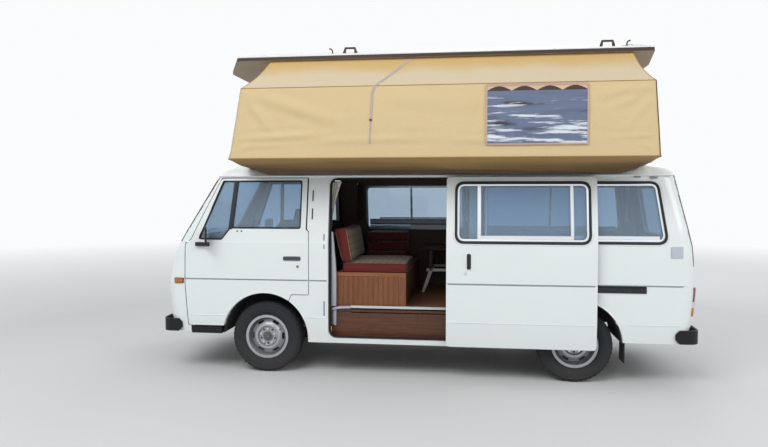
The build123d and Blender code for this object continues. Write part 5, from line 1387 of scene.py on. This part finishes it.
def lid_face(centre, normal):
    """0 on the gelcoat; 1 on the handles and, as painted shade, on the rim's lower edge; 2 on the underside
    and 3 on its recess further up, both darker than the gelcoat as painted shade.
    """
    handle = min(abs(centre.x + 0.583), abs(centre.x - 1.548)) < 0.08 and abs(abs(centre.y) - 0.84) < 0.012
    if handle and centre.z > LID_Z + 0.05:
        return 1
    if normal.z < -0.5:
        rim = abs(centre.y) > 0.83 and centre.z < LID_Z + 0.002
        return 1 if rim else (3 if centre.z > LID_Z + 0.03 else 2)
    # Side faces below the cut take the dark colour: painted shade along the lid's lower edge
    return int(abs(normal.z) < 0.5 and centre.z < LID_Z + 0.03)


copy_node("roof_lid", "lid_shell", [LID_WHITE, LID_HOOKS_AND_EDGE_SHADE, LID_UNDER_PAINTED_SHADE, LID_RECESS_PAINTED_SHADE], lid_face, edge=0.004,
          levels=[LID_Z + 0.029], sharp=35.0)

with building("lid_hooks", [LID_HOOKS_AND_EDGE_SHADE], "lid_shell", "roof_lid") as bm:
    for x, lean in ((-0.735, -1), (1.700, 1)):
        for side in (LEFT, RIGHT):
            foot = Vector((x, side * 0.842, LID_Z + 0.044))
            steps = ((0.0, -0.006), (0.002, 0.03), (0.010, 0.045), (0.030, 0.052))
            add_bead(bm, [foot + Vector((lean * away, 0, rise)) for away, rise in steps], 0.006, closed=False)
            add_rod(bm, foot - UP * 0.006, foot + UP * 0.006, 0.016, 16)


# Windows with their rubbers and aluminium frames

RUBBER_PROFILE = [(-0.013, -0.002), (-0.012, 0.005), (-0.004, 0.009), (0.006, 0.006), (0.009, -0.006),
                  (0.006, -0.02), (-0.006, -0.02)]
METAL_PROFILE = [(0.008, -0.008), (0.009, 0.003), (0.014, 0.006), (0.026, 0.004), (0.030, -0.004),
                 (0.030, -0.018), (0.010, -0.018)]
PRESSED_PROFILE = [(-0.0285, -0.002), (-0.0260, 0.0016), (-0.0235, -0.002)]
THIN_RUBBER = [(-0.004, -0.002), (-0.003, 0.003), (0.004, 0.004), (0.010, -0.002), (0.010, -0.02),
               (0.0, -0.02)]
CABIN_WINDOW = [(-0.706, 1.194), (0.388, 1.194), (0.388, 1.694), (-0.706, 1.694)]
REAR_WINDOW = [(0.560, 1.194), (2.050, 1.194), (1.984, 1.694), (0.560, 1.694)]
DOOR_WINDOW = [(-1.968, 1.196), (-1.752, 1.194), (-1.672, 1.295), (-1.034, 1.295), (-1.034, 1.716),
               (-1.762, 1.716)]
WINDSCREEN = [(-0.700, 1.196), (0.700, 1.196), (0.628, 1.742), (-0.628, 1.742)]
TAILGATE_WINDOW = [(-0.600, 1.200), (0.600, 1.200), (0.560, 1.660), (-0.560, 1.660)]
POST_Z = (1.214, 1.674)
FOOT_Z = 1.230

# Columns: name, outline, placing, posts with their widths, ends of the thick bar at the foot
FRAMED_WINDOWS = [
    ("sliding_door_window_frame", CABIN_WINDOW, side_place(LEFT, SLIDE), [(-0.515, 0.028), (0.245, 0.024)],
     (-0.515, 0.245)),
    ("rear_window_frame_left", REAR_WINDOW, side_place(LEFT), [(1.30, 0.024)], (0.60, 1.99)),
    ("rear_window_frame_right", REAR_WINDOW, side_place(RIGHT), [(1.30, 0.024)], (0.60, 1.99)),
    ("cabin_window_frame_right", CABIN_WINDOW, side_place(RIGHT), [(-0.194, 0.022)], (-0.66, 0.34)),
]
# The third ring round each window is a grey bead: painted shade along the pressed edge
for name, corners, place, posts, (foot_from, foot_to) in FRAMED_WINDOWS:
    with building(name, [RUBBER, ALUMINIUM, PRESSED_EDGE_SHADE], "rubber") as bm:
        for number, profile in enumerate((RUBBER_PROFILE, METAL_PROFILE, PRESSED_PROFILE)):
            add_frame(bm, corners, 0.07, profile, place, number)
        for x, width in posts:
            add_strip(bm, (x, POST_Z[0]), (x, POST_Z[1]), width, place, material=1)
        add_strip(bm, (foot_from, FOOT_Z), (foot_to, FOOT_Z), 0.040, place, out=-0.002, material=1)

# The aluminium rails inside the far cabin window are drawn in flat white, grey and pale grey instead of
# metal: painted highlight and shade
with building("cabin_window_rails", [RAIL_PAINTED_HIGHLIGHT, RAIL_GREY, RAIL_PAINTED_SHEEN], "rubber") as bm:
    # Columns: height, width, front end, material
    for z, width, x0, material in ((1.232, 0.046, -0.200, 0), (1.264, 0.018, -0.655, 1),
                                   (1.290, 0.034, -0.655, 2), (1.314, 0.014, -0.655, 1),
                                   (1.332, 0.016, -0.545, 0)):
        add_strip(bm, (x0, z), (0.340, z), width, side_place(RIGHT), -0.030, 0.010, material)

for name, corners, radius, end, body in (("windscreen_rubber", WINDSCREEN, 0.06, NOSE, "van"),
                                         ("tailgate_rubber", TAILGATE_WINDOW, 0.07, TAIL, "tailgate")):
    with building(name, [RUBBER], "rubber", body) as bm:
        add_frame(bm, corners, radius, RUBBER_PROFILE, end_place(end), steps=8)

for side, word in SIDES:
    with building(f"door_window_rubber_{word}", [RUBBER], "rubber", f"cab_door_{word}") as bm:
        add_frame(bm, DOOR_WINDOW, 0.02, THIN_RUBBER, side_place(side))
        add_strip(bm, (-1.673, 1.285), (-1.641, 1.716), 0.034, side_place(side), 0.002, 0.03)


# Handles, markers, vents and gutter on both sides

def add_lock(bm, at, side, stages):
    """Round lock on the side; stages list how far each ring stands out, its radius, segments and material."""
    for out, radius, segments, material in stages:
        add_rod(bm, at, at + Vector((0, side * out, 0)), radius, segments, material=material)


for side, word in SIDES:
    place = side_place(side)
    with building(f"cab_door_handle_{word}", [PAINT, HANDLE_GREY, BLACK_PLASTIC, BRIGHT], "black_plastic",
                  f"cab_door_{word}") as bm:
        add_plate(bm, (-1.196, -1.020, 1.004, 1.066), 0.020, place, 0.003, 0.006)
        add_plate(bm, (-1.188, -1.028, 1.012, 1.049), 0.017, place, 0.009, 0.006, 1, edge=0.004)
        add_plate(bm, (-1.184, -1.032, 1.049, 1.059), 0.004, place, 0.010, 0.008, edge=0.003)
        add_lock(bm, place(-1.057, 0.961, -0.002), side,
                 [(0.006, 0.015, 20, 0), (0.008, 0.011, 20, 2), (0.009, 0.005, 14, 3)])
    with building(f"side_marker_{word}", [BLACK_PLASTIC, AMBER], "lamp_lens") as bm:
        add_plate(bm, (-2.194, -2.108, 0.797, 0.845), 0.008, place, 0.006, 0.010)
        add_plate(bm, (-2.188, -2.114, 0.802, 0.840), 0.007, place, 0.016, 0.012, 1, edge=0.004)
    with building(f"pillar_vents_{word}", [PAINT, BLACK_PLASTIC], "black_plastic") as bm:
        for low, high in ((1.368, 1.478), (1.528, 1.638)):
            add_plate(bm, (-0.942, -0.918, low, high), 0.011, place, 0.002, 0.004)
            slot = (-0.936, -0.924, low + 0.006, high - 0.006)
            add_plate(bm, slot, 0.005, place, 0.0035, 0.003, 1, edge=0.001)
    with building(f"rain_gutter_{word}", [PAINT], "body_paint") as bm:
        path = [place(-1.80 + 3.90 * i / 24, GUTTER_Z - 0.002, 0.006) for i in range(25)]
        add_bead(bm, path, 0.0075, closed=False)
        add_bead(bm, [p + Vector((0, side * 0.009, 0.006)) for p in path], 0.004, closed=False)


# Groove and pressed creases along the sides

GROOVE_LINE_Z = 0.839
LOW_CREASE_Z = 0.514
WAIST_CREASE_Z = 1.172
# Columns: name, body, placing, spans of the low crease, span of the groove and the waist crease
DOOR_LOW = [(-2.060, -1.716)]
DOOR_SPAN = (-2.098, -0.968)
SIDE_LINES = [(f"cab_door_lines_{word}", f"cab_door_{word}", side_place(side), DOOR_LOW, DOOR_SPAN)
              for side, word in SIDES]
SIDE_LINES += [
    ("body_lines_left", "van", side_place(LEFT), [(-0.985, -0.800), (1.74, 2.16)], (-0.952, -0.800)),
    ("rear_lines_left", "van", side_place(LEFT), [], (0.460, 2.180)),
    ("body_lines_right", "van", side_place(RIGHT), [(-0.985, 0.900), (1.74, 2.16)], (-0.952, 2.180)),
    ("sliding_door_lines", "van", side_place(LEFT, SLIDE), [(-0.775, 0.430)], (-0.775, 0.430)),
]
for name, body, place, low_spans, (x0, x1) in SIDE_LINES:
    with building(name, [PAINT, SHADOW_GREY], "body_paint", body) as bm:
        # The groove is drawn as a grey strip: painted shade in the groove
        add_strip(bm, (x0, GROOVE_LINE_Z), (x1, GROOVE_LINE_Z), 0.0055, place, 0.0008, 0.003, 1)
        for z, spans, radius, sunk in ((WAIST_CREASE_Z, [(x0, x1)], 0.0080, 0.0073),
                                       (LOW_CREASE_Z, low_spans, 0.0060, 0.0024)):
            for start, end in spans:
                path = [place(start + (end - start) * i / 12, z, -sunk) for i in range(13)]
                add_bead(bm, path, radius, closed=False)


# Small fittings of the sides

FLANK = side_place(LEFT)
DOOR_FLANK = side_place(LEFT, SLIDE)
with building("door_rail_cover", [BUMPER_BLACK], "black_plastic") as bm:
    add_plate(bm, (0.480, 1.888, 0.822, 0.836), 0.002, FLANK, 0.0075, 0.010, edge=0.001)
with building("gutter_hooks", [RAIL_GREY], "steel") as bm:
    for x0, x1, z in ((1.796, 1.850, 1.742), (1.925, 1.985, 1.736)):
        add_plate(bm, (x0, x1, z - 0.006, z + 0.006), 0.004, FLANK, 0.016, 0.018)
with building("pillar_catches", [SHADOW_GREY], "steel") as bm:
    for low, high in ((1.119, 1.250), (0.529, 0.661)):
        add_plate(bm, (-0.826, -0.814, low, high), 0.005, FLANK, 0.002, 0.004, edge=0.001)
with building("door_seals", [RUBBER], "rubber") as bm:
    for side in (LEFT, RIGHT):
        for x, low, high in ((-0.984, 1.285, 1.720), (-0.960, 0.660, 1.285)):
            add_strip(bm, (x, low), (x, high), 0.032, side_place(side), -0.048, 0.010)
with building("door_plugs", [HANDLE_GREY], "black_plastic", "cab_door_left") as bm:
    for x in (-1.609, -1.568):
        add_rod(bm, FLANK(x, 1.268, -0.002), FLANK(x, 1.268, 0.0015), 0.0075, 16)
with building("filler_flap", [FLAP_GREY], "body_paint") as bm:
    add_plate(bm, (2.076, 2.172, 1.070, 1.168), 0.012, FLANK, 0.004, 0.008)
    add_rod(bm, FLANK(2.084, 1.085, 0.004), FLANK(2.084, 1.153, 0.004), 0.004, 10)
with building("sliding_door_pull", [PAINT, BLACK_PLASTIC, BRIGHT], "black_plastic") as bm:
    add_plate(bm, (-0.645, -0.545, 0.955, 1.108), 0.018, DOOR_FLANK, 0.003, 0.006)
    add_plate(bm, (-0.616, -0.582, 0.966, 1.098), 0.015, DOOR_FLANK, 0.012, 0.008, 1, edge=0.004)
    add_lock(bm, DOOR_FLANK(-0.628, 0.934, -0.002), LEFT, [(0.008, 0.012, 20, 2)])


# Seals and thresholds of the open bay

BAY = [(-0.785, 0.334), (0.440, 0.334), (0.440, 1.743), (-0.785, 1.743)]
# Columns: inwards, outwards, corner radius
LIP_PROFILE = [(0.0005, -0.001, 0.028), (0.004, -0.001, 0.075), (0.004, -0.016, 0.075),
               (0.0005, -0.016, 0.028)]
SEAL_PROFILE = [(0.002, -0.004, 0.075), (0.003, 0.004, 0.075), (0.012, 0.004, 0.068), (0.018, -0.006, 0.062),
                (0.018, -0.030, 0.062), (0.002, -0.034, 0.075)]
RAMP = [(-0.775, 0.572), (-0.700, 0.586), (-0.595, 0.590), (-0.595, 0.608), (-0.700, 0.604), (-0.775, 0.590)]
with building("bay_seal", [RUBBER, PAINT], "rubber") as bm:
    add_frame(bm, BAY, 0.07, LIP_PROFILE, FLANK, material=1, steps=9)
    add_frame(bm, BAY, 0.07, SEAL_PROFILE, FLANK, steps=9)
with building("threshold_strip", [PAINT_INNER, RUBBER, POST_GREY], "steel") as bm:
    add_bar(bm, (-0.600, -0.775, 0.592), (0.434, -0.735, 0.612), 0.003)
    add_prism(bm, RAMP, -0.785, -0.735, material=2, bevel=0.002)
    add_bar(bm, (-0.700, -0.742, 0.575), (0.434, -0.738, 0.594), 0.0, material=1)
    add_bar(bm, (-0.600, -0.742, 0.545), (0.434, -0.7405, 0.553), 0.0)


# Tyres and wheels

TREAD_STEPS = 144
# Half sections from the bead to the tread. Columns: distance across from the wheel's middle, radius
TYRE_PROFILE = [
    (-0.070, 0.180), (-0.074, 0.196), (-0.073, 0.206), (-0.079, 0.210), (-0.080, 0.216), (-0.087, 0.230),
    (-0.0915, 0.250), (-0.0915, 0.268), (-0.088, 0.284), (-0.090, 0.287), (-0.087, 0.292), (-0.081, 0.303),
    (-0.073, 0.3125), (-0.062, 0.3150), (-0.060, 0.3085), (-0.052, 0.3088), (-0.050, 0.3160),
    (-0.022, 0.3175), (-0.020, 0.3105), (-0.013, 0.3105), (-0.011, 0.3178),
]
VALLEY_PROFILE = [(0.0262, 0.1500), (0.0272, 0.1500), (0.0212, 0.1718), (0.0202, 0.1718)]


def make_tyre(centre, word):
    """Tyre with sipes in its shoulders and zigzag edges to its grooves."""
    with building(f"tyre_tread_{word}", [TYRE], "tyre", f"wheel_{word}", [f"tyre_{word}"], sharp=50.0) as bm:
        add_turned(bm, TYRE_PROFILE + [(-w, r) for w, r in reversed(TYRE_PROFILE)], centre, TREAD_STEPS)
        for vert in bm.verts:
            away = vert.co - centre
            reach = sqrt(away.x ** 2 + away.z ** 2)
            turn = round(atan2(away.z, away.x) / (2 * pi) * TREAD_STEPS)
            across = abs(away.y)
            if turn % 3 == 0 and 0.058 < across < 0.09 and reach > 0.30:
                away.x *= 0.986
                away.z *= 0.986
            if 0.009 < across < 0.024 or 0.048 < across < 0.056:
                away.y += 0.0022 * (1 if turn % 2 else -1)
            vert.co = centre + away


def make_wheel_trim(centre, end, side, word):
    """Nuts, hub, rings and valve of a wheel, black discs as painted shade in its holes, the drum behind it,
    and the valley of its rim in a dark colour as painted shade.
    """
    out = Vector((0, side, 0))

    def on_wheel(away, angle, reach):
        return centre + out * away + Vector((cos(angle), 0, sin(angle))) * reach

    with building(f"wheel_nuts_{word}", [WHEEL_SILVER, BRIGHT, BLACK_PLASTIC, CAST, RIM_SHADE], "steel_wheel",
                  f"wheel_{word}") as bm:
        for i in range(5):
            angle = 2 * pi * i / 5 + pi / 2
            foot = on_wheel(0.038, angle, 0.066)
            add_rod(bm, foot, foot + out * 0.004, 0.0145, 20, 0.0135)
            add_rod(bm, foot + out * 0.004, foot + out * 0.020, 0.0105, 6, material=1)
            add_rod(bm, foot + out * 0.020, foot + out * 0.026, 0.006, 12, material=1)
            # Black discs stand in for the holes: painted shade
            hole = on_wheel(0.0405, angle + pi / 5, 0.066)
            add_rod(bm, hole, hole + out * 0.0006, 0.0095, 18, material=2)
        # Columns: from, to, radius, segments, outer radius
        for near, far, radius, segments, outer in ((0.041, 0.060, 0.0415, 40, 0.039),
                                                   (0.060, 0.070, 0.034, 32, 0.029),
                                                   (0.070, 0.074, 0.020, 24, 0.016)):
            add_rod(bm, centre + out * near, centre + out * far, radius, segments, outer, material=3)
        # The inner ring takes the dark rim colour: painted shade
        for away, reach, material in ((0.0560, 0.0885, 4), (0.0545, 0.1085, 0)):
            ring = [on_wheel(away, 2 * pi * i / 72, reach) for i in range(72)]
            add_bead(bm, ring, 0.0042, material=material)
        valve = on_wheel(0.045, 0.5, 0.132)
        add_rod(bm, valve, valve + out * 0.03, 0.004, 10, material=2)
    carrier = f"knuckle_{word[6:]}" if end == "front" else "rear_axle"
    with building(f"brake_drum_{word}", [CHASSIS_BLACK], slot_of(carrier), body_of(carrier)) as bm:
        add_rod(bm, centre - out * 0.045, centre - out * 0.006, 0.152, 48)
    # Dark ring in the rim's valley: painted shade
    with building(f"wheel_valley_{word}", [RIM_SHADE], "steel_wheel", f"wheel_{word}") as bm:
        add_turned(bm, [(side * w, r) for w, r in VALLEY_PROFILE], centre, 96)


for end, x in AXLE_X.items():
    for side, which in SIDES:
        centre = Vector((x, side * WHEEL_Y, AXLE_Z))
        make_tyre(centre, f"{end}_{which}")
        make_wheel_trim(centre, end, side, f"{end}_{which}")


# Liners and lips of the wheel arches

LINER_R = {"front": 0.400, "rear": 0.388}
LINER_Y = (0.240, 0.785)
LINER_WALL = 0.004
with building("arch_liners", [UNDERSEAL], slot_of("wheel_housings")) as bm:
    for side in (LEFT, RIGHT):
        for end, radius in LINER_R.items():
            section = [(radius, LINER_Y[0]), (radius, LINER_Y[1]), (radius - LINER_WALL, LINER_Y[1]),
                       (radius - LINER_WALL, LINER_Y[0])]
            for first, last in ((118.0, 176.0), (62.0, 4.0)):
                rows = []
                for i in range(13):
                    angle = radians(first + (last - first) * i / 12)
                    rows.append([bm.verts.new((AXLE_X[end] + cos(angle) * reach, side * y,
                                               AXLE_Z + sin(angle) * reach)) for reach, y in section])
                for before, after in zip(rows, rows[1:]):
                    for i in range(4):
                        bm.faces.new((before[i - 1], before[i], after[i], after[i - 1]))
                bm.faces.new(rows[0])
                bm.faces.new(rows[-1])
    bmesh.ops.recalc_face_normals(bm, faces=bm.faces)

ARCH_Z = 0.330
# Columns: axle, radius, first angle, last angle, body
ARCH_LIPS = [
    ("front", 0.396, 166.0, 57.5, "cab_door"),
    ("front", 0.396, 55.0, -3.0, "van"),
    ("rear", 0.388, 183.0, 5.0, "van"),
]
for side, word in SIDES:
    for number, (end, radius, first, last, body) in enumerate(ARCH_LIPS):
        rider = f"cab_door_{word}" if body == "cab_door" else body
        with building(f"arch_lip_{word}_{number}", [PAINT], "body_paint", rider) as bm:
            turns = [radians(first + (last - first) * i / 40) for i in range(41)]
            arch = [(AXLE_X[end] + cos(turn) * radius, ARCH_Z + sin(turn) * radius) for turn in turns]
            add_bead(bm, [side_point(x, z, 0.0, side) for x, z in arch], 0.006, closed=False)


# Lamp rings, wipers, handle and bare plates at the two ends

LAMP_Y = 0.575
LAMP_Z = 0.6535
FACE = end_place(NOSE)
BACK = end_place(TAIL)
with building("headlamp_rings", [BRIGHT, CLEAR_LENS], "steel") as bm:
    for side in (LEFT, RIGHT):
        # Columns: radius, out, points, radius of the bead, material
        for reach, out, count, radius, material in ((0.086, -0.004, 48, 0.007, 0),
                                                    (0.030, -0.006, 24, 0.004, 1)):
            turns = [2 * pi * i / count for i in range(count)]
            add_bead(bm, [FACE(side * LAMP_Y + cos(turn) * reach, LAMP_Z + sin(turn) * reach, out)
                          for turn in turns], radius, material=material)

with building("wipers", [BLACK_PLASTIC], "black_plastic") as bm:
    for pivot, tip in ((-0.46, 0.10), (0.14, 0.66)):
        span = tip - pivot
        foot = FACE(pivot, 1.150, 0.012)
        add_rod(bm, foot + Vector((0.02, 0, 0)), foot - Vector((0.012, 0, 0)), 0.014, 16)
        arm = [FACE(pivot + span * t, 1.152 + 0.09 * t, 0.020) for t in (0, 0.25, 0.5, 0.75, 0.85)]
        blade = [FACE(pivot + 0.10 + span * t, 1.215 + 0.035 * t, 0.008) for t in (0, 0.3, 0.6, 0.9)]
        add_bead(bm, arm, 0.005, closed=False)
        add_bead(bm, blade, 0.005, closed=False)

with building("front_plate", [PLATE_WHITE], "body_paint") as bm:
    add_bar(bm, (-2.352, -0.26, 0.376), (-2.346, 0.26, 0.468), 0.002)
with building("rear_plate", [PLATE_YELLOW], "body_paint", "tailgate") as bm:
    add_plate(bm, (-0.26, 0.26, 0.640, 0.752), 0.012, BACK, 0.006, 0.008)
with building("tailgate_handle", [BLACK_PLASTIC, BRIGHT], "black_plastic", "tailgate") as bm:
    add_plate(bm, (-0.30, 0.30, 0.772, 0.806), 0.008, BACK, 0.026, 0.028, edge=0.005)
    add_plate(bm, (-0.070, 0.070, 0.900, 0.950), 0.010, BACK, 0.004, 0.006, 1)
    add_plate(bm, (-0.055, 0.055, 0.908, 0.940), 0.010, BACK, 0.012, 0.010, edge=0.004)
